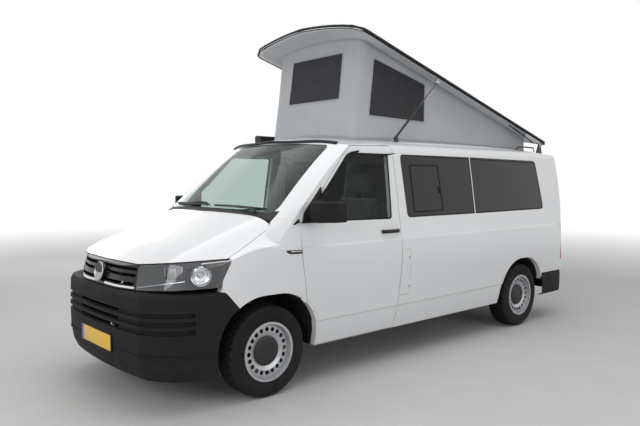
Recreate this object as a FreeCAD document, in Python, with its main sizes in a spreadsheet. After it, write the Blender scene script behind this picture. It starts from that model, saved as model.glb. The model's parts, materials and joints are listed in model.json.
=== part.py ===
"""Parametric model of a long-wheelbase camper van with a raised pop-up roof.

X points to the vehicle's left, Y to its rear and Z up. The origin lies on the ground at mid-length.
Lengths along the vehicle are given as stations, measured back from the front bumper's face.
"""
import FreeCAD
import Part
import Sketcher
import math
import os
from functools import lru_cache
from types import SimpleNamespace

from FreeCAD import Placement, Rotation, Vector

SIZES = (
    ("front_overhang", 908, "bumper face to front hub"),
    ("wheelbase", 3400, "front hub to rear hub"),
    ("rear_overhang", 996, "rear hub to rear bumper's face"),
    ("half_width", 952, "half width at the belly of the side"),
    ("sill_height", 285, "underside of the sill"),
    ("flute_height", 497, "groove low on the side"),
    ("belly_height", 760, "widest point of the side"),
    ("crease_height", 1068, "crease below the windows"),
    ("belt_height", 1250, "bottom edge of the windows"),
    ("window_top", 1803, "top edge of the side windows"),
    ("gutter_height", 1905, "outer edge of the roof"),
    ("gutter_half", 762, "half width between the roof's edges"),
    ("roof_height", 1990, "highest point of the fixed roof"),
    ("cowl_station", 950, "foot of the windscreen at its middle"),
    ("cowl_height", 1325, "height of the windscreen's foot"),
    ("head_station", 1640, "top of the windscreen at its middle"),
    ("head_height", 1925, "height of the windscreen's top"),
    ("wall", 50, "thickness of a side wall or door"),
    ("skin", 34, "thickness of the bonnet"),
    ("panel_gap", 5, "gap round a moving panel"),
    ("seam", 0.6, "gap between two fixed panels"),
    ("seat_gap", 0.3, "clearance where one piece seats on another"),
    ("hub_height", 336.5, "height of the wheel centres"),
    ("track_half", 814, "half of the track"),
    ("tyre_radius", 336.5, "outer radius of the tyre"),
    ("tyre_width", 205, "width of the tyre"),
    ("rim_radius", 206, "seat of the tyre on the rim"),
    ("flange_radius", 217, "outer radius of the rim's flange"),
    ("front_arch", 420, "rise of the front wheel arch above the hub"),
    ("front_arch_half", 434, "half length of the front wheel arch"),
    ("rear_arch", 407, "rise of the rear wheel arch above the hub"),
    ("rear_arch_half", 415, "half length of the rear wheel arch"),
    ("arch_skin", 10, "thickness of a wheel arch liner"),
    ("door_front", 1195, "front edge of the front door at the belt"),
    ("door_rear", 2311, "rear edge of the front door"),
    ("slide_front", 2352, "front edge of the sliding door"),
    ("slide_rear", 3440, "rear edge of the sliding door"),
    ("glass", 4.5, "thickness of the glass"),
    ("bumper_height", 812, "top edge of the front bumper"),
    ("bumper_bottom", 225, "bottom edge of the front bumper"),
    ("bumper_skin", 28, "thickness of the bumper moulding"),
    ("floor_height", 520, "top of the cabin floor"),
    ("floor_thickness", 46, "thickness of the floor"),
    ("roof_hinge_station", 5040, "pop-up roof's hinge"),
    ("roof_hinge_height", 1978, "height of the pop-up roof's hinge"),
    ("roof_open_angle", 15.4, "angle of the raised roof to its closed pose"),
    ("tent_half", 575, "half width of the tent"),
    ("tent_front", 2060, "front of the tent at its foot"),
    ("tent_wall", 5, "thickness of the canvas wall"),
    ("strut_foot_station", 2490, "lower eye of the roof strut"),
    ("strut_foot_height", 1952, "height of the strut's lower eye"),
    ("strut_top_station", 3095, "upper eye of the roof strut"),
    ("strut_top_height", 2518, "height of the strut's upper eye"),
    ("strut_side", 700, "distance of the roof strut from the middle"),
    ("kingpin_half", 745, "lower ball joint from the middle"),
    ("tower_half", 608, "upper strut mount from the middle"),
    ("wheel_rim_radius", 190, "radius of the steering wheel"),
    ("bonnet_hinge_station", 1000, "bonnet's hinge pin"),
    ("bonnet_hinge_height", 1312, "height of the bonnet's hinge pin"),
    ("bonnet_hinge_side", 300, "distance of the bonnet's hinges from the middle"),
    ("flap_hinge_station", 2420, "fuel flap's hinge pin"),
    ("flap_hinge_side", 948, "fuel flap's hinge pin from the middle"),
)

doc = FreeCAD.newDocument("CamperVan")
sheet = doc.addObject("Spreadsheet::Sheet", "Sizes")
for row, (alias, value, meaning) in enumerate(SIZES, start=1):
    sheet.set(f"A{row}", meaning)
    sheet.set(f"B{row}", str(value))
    sheet.setAlias(f"B{row}", alias)
doc.recompute()
d = SimpleNamespace(**{alias: float(sheet.get(alias)) for alias, value, meaning in SIZES})

LENGTH = d.front_overhang + d.wheelbase + d.rear_overhang
FRONT_HUB = d.front_overhang
REAR_HUB = d.front_overhang + d.wheelbase
FAR = 3000.0
nodes = []


def at(x, station, z):
    """Return the point at x, a station behind the bumper's face and a height."""
    return Vector(x, station - LENGTH / 2, z)


def line(start, end):
    """Return a straight edge."""
    return Part.LineSegment(start, end).toShape()


def spline(points):
    """Return a smooth edge through points."""
    curve = Part.BSplineCurve()
    curve.interpolate(points)
    return curve.toShape()


def mirrored(shape):
    """Return the shape on the vehicle's other side."""
    return shape.mirror(Vector(0, 0, 0), Vector(1, 0, 0))


def round_outline(points, radius, place):
    """Return a face inside points, with arcs of one radius at the corners."""
    radii = radius if isinstance(radius, (list, tuple)) else [radius] * len(points)
    flat = [Vector(a, b, 0) for a, b in points]
    stops = []
    for index, corner in enumerate(flat):
        before = (flat[index - 1] - corner).normalize()
        after = (flat[(index + 1) % len(flat)] - corner).normalize()
        turn = before.getAngle(after) / 2
        reach = radii[index] / math.tan(turn)
        middle = (before + after).normalize()
        depth = radii[index] / math.sin(turn) - radii[index]
        stops.append((corner + before * reach, corner + middle * depth, corner + after * reach))
    edges = []
    for index, (begin, middle, end) in enumerate(stops):
        spots = [place(p.x, p.y) for p in (begin, middle, end)]
        if radii[index] > 0:
            edges.append(Part.Arc(*spots).toShape())
        following = stops[(index + 1) % len(stops)][0]
        if (following - end).Length > 1e-6:
            edges.append(line(spots[2], place(following.x, following.y)))
    return Part.Face(Part.Wire(edges))


def side_face(points, radius):
    """Return an outline of stations and heights on the middle plane."""
    return round_outline(points, radius, lambda s, z: at(0, s, z))


def front_face(points, radius):
    """Return an outline of widths and heights at the bumper's face."""
    return round_outline(points, radius, lambda x, z: at(x, 0, z))


def plan_face(points, radius):
    """Return an outline of widths and stations on the ground."""
    return round_outline(points, radius, lambda x, s: at(x, s, 0))


def across(face, x_low, x_high):
    """Extrude a face of the middle plane across the vehicle."""
    return face.translated(Vector(x_low, 0, 0)).extrude(Vector(x_high - x_low, 0, 0))


def along(face, s_low, s_high):
    """Extrude a face at the bumper along the vehicle."""
    return face.translated(Vector(0, s_low, 0)).extrude(Vector(0, s_high - s_low, 0))


def upright(face, z_low, z_high):
    """Extrude a face on the ground upwards."""
    return face.translated(Vector(0, 0, z_low)).extrude(Vector(0, 0, z_high - z_low))


def grown(face, amount):
    """Return a flat face with its outline moved out by amount."""
    return face.makeOffset2D(amount)


def block(x_low, x_high, s_low, s_high, z_low, z_high):
    """Return a box between two corners."""
    return Part.makeBox(x_high - x_low, s_high - s_low, z_high - z_low, at(x_low, s_low, z_low))


def cross_cylinder(radius, x_low, x_high, station, z):
    """Return a cylinder along X."""
    return Part.makeCylinder(radius, x_high - x_low, at(x_low, station, z), Vector(1, 0, 0))


def fused(shapes):
    """Join shapes that touch into one."""
    joined = shapes[0]
    for shape in shapes[1:]:
        joined = joined.fuse(shape)
    return joined.removeSplitter()


def both(shape):
    """Return the shape and its mirror image as separate solids."""
    return Part.makeCompound([shape, mirrored(shape)])


def biggest(shape):
    """Return the largest solid of a shape."""
    return max(shape.Solids, key=lambda solid: solid.Volume)


def feature(name, shape):
    """Store a shape as a document object and mark it as a sub-part."""
    item = doc.addObject("Part::Feature", name)
    item.Label = name
    item.Shape = shape
    nodes.append(item)
    return item


def side_section(station, inset):
    """Return the vehicle's cross section, without its roof, pulled in by inset."""
    def spot(x, z):
        return at(x - inset, station, z)
    foot = spot(d.half_width - 67, 150)
    low = [spot(d.half_width - 67, d.sill_height), spot(d.half_width - 40, d.sill_height + 95),
           spot(d.half_width - 23, d.flute_height - 5)]
    middle = [spot(d.half_width - 14, d.flute_height + 5), spot(d.half_width, d.belly_height),
              spot(d.half_width - 4, d.crease_height - 2)]
    upper = [spot(d.half_width - 14, d.crease_height + 16), spot(d.half_width - 36, d.belt_height),
             spot(d.half_width - 117, d.window_top)]
    rounding = [upper[-1], spot(d.gutter_half + 62, d.gutter_height - 55), spot(d.gutter_half, d.gutter_height)]
    ridge = spot(d.gutter_half - 200, d.gutter_height + 200)
    left = [line(foot, low[0]), spline(low), line(low[-1], middle[0]), spline(middle),
            line(middle[-1], upper[0]), spline(upper), Part.Arc(*rounding).toShape(), line(rounding[-1], ridge)]
    right = [mirrored(edge) for edge in reversed(left)]
    top = line(ridge, Vector(-ridge.x, ridge.y, ridge.z))
    base = line(Vector(-foot.x, foot.y, foot.z), foot)
    return Part.Wire(Part.__sortEdges__(left + [top] + right + [base]))


NOSE_PLAN = ((0, 58), (300, 66), (547, 140), (747, 245), (831, 370), (897, 560), (925, 740),
             (941, 950), (950, 1200), (962, 1500))
NOSE_LEAN = 0.28
TAIL_LEAN = 0.085


@lru_cache(maxsize=None)
def plan_form(inset):
    """Return the column that rounds the nose and the tail in plan."""
    tail = LENGTH - 50 - inset
    corner = 92.0
    wires = []
    for height in (150.0, 2150.0):
        nose_shift = (height - 900) * NOSE_LEAN + inset
        tail_shift = -(height - 600) * TAIL_LEAN
        half = [(max(x - inset, 0), s + nose_shift) for x, s in NOSE_PLAN]
        nose = [at(-x, s, height) for x, s in reversed(half[1:])] + [at(x, s, height) for x, s in half]
        side = d.half_width + 6 - inset
        end = tail + tail_shift
        bend = math.sin(math.radians(45)) * corner
        edges = [spline(nose)]
        edges.append(line(nose[-1], at(side, end - 420, height)))
        edges.append(line(at(side, end - 420, height), at(side - 26, end - corner - 8, height)))
        edges.append(Part.Arc(at(side - 26, end - corner - 8, height),
                              at(side - 26 - corner + bend, end - corner - 8 + bend, height),
                              at(side - 26 - corner, end - 8, height)).toShape())
        edges.append(Part.Arc(at(side - 26 - corner, end - 8, height), at(0, end + 14, height),
                              at(-side + 26 + corner, end - 8, height)).toShape())
        edges.append(Part.Arc(at(-side + 26 + corner, end - 8, height),
                              at(-side + 26 + corner - bend, end - corner - 8 + bend, height),
                              at(-side + 26, end - corner - 8, height)).toShape())
        edges.append(line(at(-side + 26, end - corner - 8, height), at(-side, end - 420, height)))
        edges.append(line(at(-side, end - 420, height), nose[0]))
        wires.append(Part.Wire(edges))
    return Part.makeLoft(wires, True, True)


@lru_cache(maxsize=None)
def cabin_form(inset):
    """Return everything below the windscreen, the roof and its rear edge."""
    wires = []
    slope = (d.head_station - d.cowl_station) / (d.head_height - d.cowl_height)
    for x in (-1000.0, -860.0, -760.0, -400.0, 0.0, 400.0, 760.0, 860.0, 1000.0):
        sweep = (x / 790.0) ** 2
        crown = 59 * (x / 700.0) ** 2
        roll = max(abs(x) - 760.0, 0.0) ** 2 / 240.0
        back = inset * math.hypot(1, slope) / 1.0 + roll
        cowl = (d.cowl_station + 98 * sweep + back, d.cowl_height - 11 * sweep)
        head = (d.head_station + 118 * sweep + back - slope * inset, d.head_height - 56 * sweep - inset)
        middle = ((cowl[0] + head[0]) / 2 - 12, (cowl[1] + head[1]) / 2 + 12)
        foot = (cowl[0] - slope * 175, cowl[1] - 175)
        top = d.roof_height - crown - inset
        screen = spline([at(x, *foot), at(x, *cowl), at(x, *middle), at(x, *head)])
        roof = spline([at(x, *head), at(x, 1900 + 60 * sweep, top - 34), at(x, 2600, top - 6),
                       at(x, 3400, top), at(x, 4300, top - 10), at(x, 5400, top - 65)])
        low = 100.0
        wires.append(Part.Wire([line(at(x, foot[0], low), at(x, *foot)), screen, roof,
                                line(at(x, 5400, top - 65), at(x, 5400, low)),
                                line(at(x, 5400, low), at(x, foot[0], low))]))
    return Part.makeLoft(wires, True, False)


HOOD_STATIONS = (-60, 100, 300, 500, 750, 950, 1400)
HOOD_HEIGHTS = (930, 992, 1090, 1163, 1255, 1328, 1480)
HOOD_DROPS = {
    0: (0, 0, 0, 0, 0, 0, 0),
    300: (6, 6, 6, 6, 6, 6, 6),
    600: (28, 28, 28, 28, 28, 28, 28),
    720: (62, 62, 62, 62, 62, 62, 62),
    830: (125, 130, 140, 148, 147, 138, 120),
    900: (150, 155, 165, 170, 175, 195, 240),
    1000: (190, 195, 205, 215, 235, 290, 420),
}


@lru_cache(maxsize=None)
def hood_form(inset):
    """Return everything below the bonnet and the wings' tops."""
    widths = sorted(HOOD_DROPS)
    wires = []
    for x in [-w for w in reversed(widths[1:])] + widths:
        drops = HOOD_DROPS[abs(x)]
        crest = [at(x, s, z - drop - inset) for s, z, drop in zip(HOOD_STATIONS, HOOD_HEIGHTS, drops)]
        first = at(x, HOOD_STATIONS[0], 100)
        last = at(x, HOOD_STATIONS[-1], 100)
        wires.append(Part.Wire([spline(crest), line(crest[-1], last), line(last, first), line(first, crest[0])]))
    return Part.makeLoft(wires, True, False)


@lru_cache(maxsize=None)
def side_form(inset):
    """Return the prism of the vehicle's cross section."""
    return Part.Face(side_section(-150, inset)).extrude(Vector(0, LENGTH + 300, 0))


@lru_cache(maxsize=None)
def cabin_solid(inset):
    """Return the closed cabin, pulled in by inset."""
    return side_form(inset).common(cabin_form(inset)).common(plan_form(inset))


@lru_cache(maxsize=None)
def nose_solid(inset):
    """Return the closed bonnet and wings, pulled in by inset."""
    return side_form(inset).common(hood_form(inset)).common(plan_form(inset))


outer = cabin_solid(0).fuse(nose_solid(0))
inner = cabin_solid(d.wall).fuse(nose_solid(d.wall))
glass_layer = cabin_solid(2.5).cut(cabin_solid(2.5 + d.glass))
rebate_layer = cabin_solid(-20).cut(cabin_solid(2.5 + d.glass + d.seat_gap))


def panel(region, cuts=()):
    """Return the part of the body's wall inside a region, less some cuts."""
    wall = region.common(outer).cut(inner)
    for tool in cuts:
        wall = wall.cut(tool)
    return biggest(wall)


def pane(face, extrude, low, high):
    """Return the glass inside an outline."""
    return biggest(glass_layer.common(extrude(grown(face, -d.seat_gap), low, high)))


# Outlines in side view, as stations and heights
door_face = side_face(((1260, 305), (1243, 640), (d.door_front + 2, 985), (d.door_front - 5, 1236),
                       (1742, 1815), (1806, 1858), (d.door_rear - 8, 1874), (d.door_rear + 4, 1250),
                       (d.door_rear, 934), (2268, 472), (2255, 305)),
                      (30, 300, 300, 30, 150, 60, 35, 300, 60, 60, 30))
door_window_face = side_face(((1236, d.belt_height + 10), (1745, 1784), (1790, d.window_top),
                              (2246, d.window_top), (2218, d.belt_height - 4)), (25, 80, 60, 35, 30))
slide_face = side_face(((d.slide_front, 318), (d.slide_front, 1876), (d.slide_rear, 1880), (d.slide_rear, 318)), 45)
wing_face = side_face(((300, 288), (1189.4, 288), (1189.4, 1262), (1035, 1300), (300, 1300)), 0)
behind_face = side_face(((1190, 200), (5400, 200), (5400, 2100), (1000, 2100), (1000, 1300.6),
                         (1035, 1300.6), (1190, 1262.6)), 0)
pane_faces = {
    "left_middle": side_face(((2423, d.belt_height), (2398, d.window_top), (3434, d.window_top),
                              (3438, d.belt_height)), (40, 40, 6, 6)),
    "left_rear": side_face(((3450, d.belt_height), (3446, d.window_top), (4690, d.window_top - 12),
                            (4765, d.belt_height + 6)), (6, 6, 60, 60)),
    "right_middle": side_face(((2423, d.belt_height), (2410, d.window_top), (3400, d.window_top),
                               (3404, d.belt_height)), 40),
    "right_rear": side_face(((3480, d.belt_height), (3476, d.window_top), (4690, d.window_top - 12),
                             (4765, d.belt_height + 6)), (40, 40, 60, 60)),
}
flap_face = side_face(((2322, 945), (2400, 985), (2424, 960), (2424, 585), (2290, 585), (2300, 700), (2322, 930)),
                      (8, 15, 15, 15, 8, 60, 60))
FLAP_HINGES = (650, 900)
FLAP_SWING = 8.5
FLAP_SWING_SPAN = (956, 973)
rear_lamp_face = side_face(((5128, 667), (5400, 667), (5400, 1089), (5110, 1089), (5150, 900)), (10, 0, 0, 10, 80))
rear_corner_face = side_face(((4974, 200), (5500, 200), (5500, 540.3), (4974, 540.3)), 0)
bumper_face = side_face(((-100, 150), (700, 150), (652, 684), (545, d.bumper_height), (-100, d.bumper_height)),
                        (0, 0, 0, 40, 0))

# Outlines in front view, as widths and heights
screen_face = front_face(((-778, 1322), (-400, 1341), (0, 1345), (400, 1341), (778, 1322), (694, 1866),
                          (350, 1884), (0, 1890), (-350, 1884), (-694, 1866)),
                         (50, 900, 900, 900, 50, 50, 900, 900, 900, 50))
gate_face = front_face(((-765, 548), (765, 548), (771, 1090), (742, 1842), (690, 1880), (-690, 1880),
                        (-742, 1842), (-771, 1090)), (40, 40, 300, 40, 40, 40, 40, 300))
gate_window_face = front_face(((-655, 1290), (655, 1290), (628, 1815), (-628, 1815)), 70)
rear_lamp_front = front_face(((776.5, 667), (1100, 667), (1100, 1089), (776.5, 1089)), 0)
grille_face = front_face(((-470, 820), (470, 820), (441, 990), (-441, 990)), 14)
lamp_front = front_face(((472, 821), (990, 853), (990, 1039), (446, 989)), (14, 0, 0, 14))
lamp_side = side_face(((-100, 780), (512, 780), (530, 880), (606, 1034), (606, 1100), (-100, 1100)),
                      (0, 0, 120, 10, 0, 0))
above_front = front_face(((-1000, 1046), (-906, 1040), (-441, 996), (441, 996), (906, 1040), (1000, 1046),
                          (1000, 1700), (-1000, 1700)), (0, 40, 60, 60, 40, 0, 0, 0))

# Outlines in plan view, as widths and stations
bonnet_half = ((868, -200), (868, 480), (850, 575), (830, 761), (800, 1010), (500, 948), (0, 926))
bonnet_plan = plan_face(bonnet_half + tuple((-x, s) for x, s in reversed(bonnet_half[:-1])),
                        (0, 200, 600, 900, 25, 900, 1200, 900, 25, 900, 600, 200, 0))

def arch_tool(station, half, rise, x_low, x_high, extra=0):
    """Return the squarish opening of a wheel arch, extruded across the vehicle."""
    top = d.hub_height + rise + extra
    front = station - half - extra
    rear = station + half + extra
    outline = side_face(((front, 100), (front, top), (rear, top), (rear, 100)), (0, 372 + extra, 372 + extra, 0))
    return across(outline, x_low, x_high)


def front_arch(x_low, x_high, extra=0):
    """Return the left front wheel's opening."""
    return arch_tool(FRONT_HUB + 14, d.front_arch_half, d.front_arch, x_low, x_high, extra)


def rear_arch(x_low, x_high, extra=0):
    """Return the left rear wheel's opening."""
    return arch_tool(REAR_HUB, d.rear_arch_half, d.rear_arch, x_low, x_high, extra)


front_arches = [front_arch(450, 1050), front_arch(-1050, -450)]
rear_arches = [rear_arch(700, 1100), rear_arch(-1100, -700)]
def arch_line(outline, form):
    """Return the shallow groove that follows a wheel arch in the outer skin."""
    band = outline(600, 1050, 22).cut(outline(600, 1050, 15))
    return band.cut(form)


roof_zone = block(-742, 742, 1500, 5400, 1845, 2150)
gate_zone = along(gate_face, 4900, 5500)
gate_gap = along(grown(gate_face, d.panel_gap), 4900, 5500)
rear_lamp_zone = along(rear_lamp_front, 5000, 5500).common(across(rear_lamp_face, 600, 1100))
scuttle_zone = block(-797, 797, 850, 1190, 1150, 1344)


def door_panel():
    """Return the left front door with its window opening."""
    return panel(across(door_face, 748, 1100), [across(door_window_face, 700, 1100), front_arches[0],
                                                arch_line(front_arch, side_form(3))])


def side_panel_left():
    """Return the left side from the windscreen's pillar to the tail."""
    cuts = [across(grown(door_face, d.panel_gap), 300, 1100), roof_zone, gate_gap, rear_lamp_zone,
            across(rear_corner_face, -100, 1100), along(screen_face, 800, 2200), scuttle_zone, *rear_arches,
            across(grown(flap_face, 3), 700, 1100).cut(side_form(30)), arch_line(rear_arch, side_form(3))]
    for name in ("left_middle", "left_rear"):
        cuts.append(across(pane_faces[name], 500, 1100).common(rebate_layer))
        cuts.append(across(grown(pane_faces[name], -26), 500, 1100))
    side = panel(across(behind_face, 0, 1100), cuts + front_arches)
    low, high = FLAP_SWING_SPAN
    swing = at(d.flap_hinge_side, d.flap_hinge_station, low)
    side = side.cut(Part.makeCylinder(FLAP_SWING, high - low, swing))
    for height in FLAP_HINGES:
        ear = block(918, d.flap_hinge_side + 3, d.flap_hinge_station - 4, d.flap_hinge_station + 12, height, height + 6)
        pin = Part.makeCylinder(2.2, 24, at(d.flap_hinge_side, d.flap_hinge_station, height - 9))
        side = side.fuse(ear.fuse(pin))
    return biggest(side.removeSplitter())


def side_panel_right():
    """Return the right side, open for both doors."""
    cuts = [mirrored(across(grown(door_face, d.panel_gap), 300, 1100)), roof_zone, gate_gap,
            mirrored(rear_lamp_zone), across(rear_corner_face, -1100, 100), along(screen_face, 800, 2200),
            scuttle_zone, *rear_arches, across(grown(slide_face, d.panel_gap), -1100, -300),
            mirrored(arch_line(rear_arch, side_form(3)))]
    cuts.append(across(pane_faces["right_rear"], -1100, -500).common(rebate_layer))
    cuts.append(across(grown(pane_faces["right_rear"], -26), -1100, -500))
    return panel(across(behind_face, -1100, 0), cuts + front_arches)


def roof_panel():
    """Return the fixed roof with the opening below the tent."""
    cuts = [along(screen_face, 800, 2200), gate_gap, block(-520, 520, 2130, 3450, 1700, 2200)]
    return panel(roof_zone.translated(Vector(0, 0, d.seam)), cuts)


def wing():
    """Return the left front wing."""
    cuts = [upright(grown(bonnet_plan, d.panel_gap), 890, 1700), across(grown(lamp_side, 3), 200, 1100),
            across(grown(bumper_face, d.seat_gap), 200, 1100), scuttle_zone, *front_arches,
            block(0, 700, 0, 1200, 200, 1400), arch_line(front_arch, side_form(3))]
    return panel(across(wing_face, 500, 1100), cuts)


def bonnet_pin(radius, low, high):
    """Return a piece of the left hinge's pin between two distances from its middle."""
    side = d.bonnet_hinge_side
    return cross_cylinder(radius, side + low, side + high, d.bonnet_hinge_station, d.bonnet_hinge_height)


def bonnet_arm():
    """Return the bonnet's left hinge arm, bent round the cowl's front edge."""
    pin_s, pin_z = d.bonnet_hinge_station, d.bonnet_hinge_height
    bend = side_face(((pin_s - 110, pin_z - 20), (pin_s - 90, pin_z - 20), (pin_s - 90, pin_z - 66),
                      (pin_s - 8, pin_z - 66), (pin_s - 8, pin_z), (pin_s + 8, pin_z), (pin_s + 8, pin_z - 84),
                      (pin_s - 110, pin_z - 84)), (0, 0, 8, 8, 0, 0, 20, 20))
    arm = across(bend, d.bonnet_hinge_side - 4, d.bonnet_hinge_side + 4).fuse(bonnet_pin(12, -4, 4))
    return arm.cut(bonnet_pin(5 + d.seat_gap, -9, 9)).common(nose_solid(8).fuse(cabin_solid(8)))


def bonnet():
    """Return the bonnet with its two hinge arms."""
    sheet_metal = nose_solid(0).cut(nose_solid(d.skin))
    lid = biggest(sheet_metal.common(upright(bonnet_plan, 900, 1700)).common(along(above_front, -200, 1200)))
    arm = bonnet_arm()
    return biggest(fused([lid, arm, mirrored(arm)]))


def nose_slab(zone, front, depth):
    """Return the layer of a zone that lies behind the nose's face."""
    return biggest(zone.common(nose_solid(front)).cut(plan_form(front + depth)))


BUMPER_BANDS = ((-10, 24), (30, 6), (210, 0), (390, 4), (510, 22), (590, 60))


def bumper_solid(inset, z_low, z_high):
    """Return the front bumper's closed form, rounded at its corners in plan."""
    wires = []
    for drop, shift in BUMPER_BANDS:
        height = d.bumper_height - drop
        back = shift + inset

        def spot(x, s):
            return at(x, s + back, height)
        corner = [spot(600 - inset, 42), spot(775 - inset, 165), spot(880 - inset, 400)]
        flank = spot(948 - inset, 800)
        edges = [Part.Arc(spot(inset - 600, 42), spot(0, 0), corner[0]).toShape(), Part.Arc(*corner).toShape(),
                 line(corner[-1], flank), line(flank, spot(inset - 948, 800)),
                 line(spot(inset - 948, 800), spot(inset - 880, 400)),
                 Part.Arc(spot(inset - 880, 400), spot(inset - 775, 165), spot(inset - 600, 42)).toShape()]
        wires.append(Part.Wire(edges))
    body = Part.makeLoft(wires, True, True)
    return body.common(block(-1000, 1000, -50, 760, z_low, z_high)).common(side_form(inset))


def front_bumper():
    """Return the front bumper's moulding with its slots."""
    hollow = bumper_solid(d.bumper_skin, d.bumper_bottom + d.bumper_skin, d.bumper_height - d.bumper_skin)
    moulding = bumper_solid(0, d.bumper_bottom, d.bumper_height).common(across(bumper_face, -1000, 1000))
    moulding = moulding.cut(hollow).cut(bumper_solid(130, 0, 1000))
    for arch in front_arches:
        moulding = moulding.cut(arch)
    floor = bumper_solid(18, 0, 1000)
    for height in (545, 603, 661):
        moulding = moulding.cut(block(-1000, 1000, -50, 330, height, height + 32).cut(floor))
        moulding = moulding.cut(block(-330, 330, -50, 100, height + 4, height + 28))
    rib = bumper_solid(-5, 386, 402).cut(bumper_solid(6, 300, 500)).cut(block(-285, 285, -60, 200, 300, 500))
    rib = rib.common(block(-1000, 1000, -60, 440, 300, 500))
    return biggest(moulding.fuse(rib))


def rear_bumper():
    """Return the rear bumper's moulding."""
    half = ((950, 4975), (940, 5150), (700, 5285), (0, LENGTH))
    points = half + tuple((-x, s) for x, s in reversed(half[:-1]))
    face = plan_face(points, (0, 110, 400, 3000, 400, 110, 0))
    moulding = upright(face, 290, 540).common(side_form(-4))
    hollow = upright(grown(face, -d.bumper_skin), 290 + d.bumper_skin, 540 - d.bumper_skin)
    moulding = moulding.cut(hollow).cut(block(-905, 905, 4900, 5135, 200, 600))
    return biggest(moulding)


def grille():
    """Return the grille with its slats and the bare round badge."""
    slab = nose_slab(along(grille_face, -100, 400), 4, 26)
    for height in (848, 905, 948):
        slot = front_face(((-440, height), (440, height), (440, height + 22), (-440, height + 22)), 4)
        slab = slab.cut(along(slot, -100, 400))
    badge = Part.makeCylinder(66, 30, at(0, 34, 905), Vector(0, 1, 0))
    return fused([slab, badge])


lamp_zone = along(lamp_front, -100, 700).common(across(lamp_side, 300, 1000))


def headlamp():
    """Return the left headlamp's housing with the wells of its two reflectors."""
    housing = nose_slab(lamp_zone, 5.5 + d.seat_gap, 56)
    round_well = Part.makeCylinder(50, 140, Vector(0, 44, 0), Vector(0, -1, 0))
    square_well = Part.makeBox(86, 140, 86, Vector(-43, -96, -43))
    round_well.Placement = FreeCAD.Placement(at(832, 378, 922), FreeCAD.Rotation(Vector(0, 0, 1), 64))
    square_well.Placement = FreeCAD.Placement(at(717, 228, 946), FreeCAD.Rotation(Vector(0, 0, 1), 37))
    return biggest(housing.cut(round_well).cut(square_well))


def headlamp_lens():
    """Return the left headlamp's clear cover."""
    return nose_slab(lamp_zone, 1.5, 4)


def tail_lamp():
    """Return the left tail lamp."""
    return panel(rear_lamp_zone.translated(Vector(d.seam, d.seam, 0)))


def tailgate():
    """Return the tailgate with its window opening."""
    cuts = [along(gate_window_face, 4900, 5500).common(rebate_layer),
            along(grown(gate_window_face, -26), 4900, 5500)]
    return panel(gate_zone, cuts)


def sliding_door():
    """Return the right-hand sliding door."""
    cuts = [across(pane_faces["right_middle"], -1100, -500).common(rebate_layer),
            across(grown(pane_faces["right_middle"], -26), -1100, -500)]
    return panel(across(slide_face, -1100, -748), cuts)


def floor_pan():
    """Return the floor with its sills, cross members and rear wheel tubs."""
    low = d.floor_height - d.floor_thickness
    room = side_form(d.wall + d.seat_gap)
    deck = block(-1000, 1000, 1371, 5130, low, d.floor_height).fuse(block(-481, 481, 1150, 1380, low, d.floor_height))
    deck = deck.common(room)
    beams = []
    for x in (-520, 440):
        beams.append(block(x, x + 80, 1371, 5120, low - 95, low))
    for station in (1500, 2350, 3350, 4700, 5030):
        beams.append(block(-780, 780, station, station + 90, low - 80, low))
    pan = fused([deck, *beams])
    tubs = []
    for side in (1, -1):
        ring = rear_arch(684, 1000, d.arch_skin)
        ring = ring.common(room).common(block(-1000, 1000, 3800, 4800, low, 900))
        hole = rear_arch(694, 1000)
        if side < 0:
            ring, hole = mirrored(ring), mirrored(hole)
        tubs.append((ring, hole))
    pan = fused([pan] + [ring for ring, hole in tubs])
    for ring, hole in tubs:
        pan = pan.cut(hole)
    return biggest(pan)


def scuttle():
    """Return the cowl between the bonnet and the windscreen."""
    cover = scuttle_zone.common(outer).cut(cabin_solid(26).fuse(nose_solid(26)))
    cover = cover.cut(upright(grown(bonnet_plan, d.panel_gap), 900, 1700))
    cover = biggest(cover.cut(along(grown(screen_face, d.seat_gap), 800, 2200)))
    reach = d.bonnet_hinge_side
    lug = block(reach + 6, reach + 14, d.bonnet_hinge_station - 12, d.bonnet_hinge_station + 12,
                d.bonnet_hinge_height - 12, d.bonnet_hinge_height + 40).common(cabin_solid(10))
    pocket = bonnet_pin(22, -7, 6)
    cover = cover.cut(pocket).cut(mirrored(pocket))
    hinge = lug.fuse(bonnet_pin(5, -6, 6))
    return biggest(fused([cover, hinge, mirrored(hinge)]))


liner_plan = plan_face(((0, 400), (795, 400), (832, 560), (868, 900), (884, 1050), (888, 1196), (1000, 1197),
                        (1000, 1400), (0, 1400)), 0)


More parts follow.
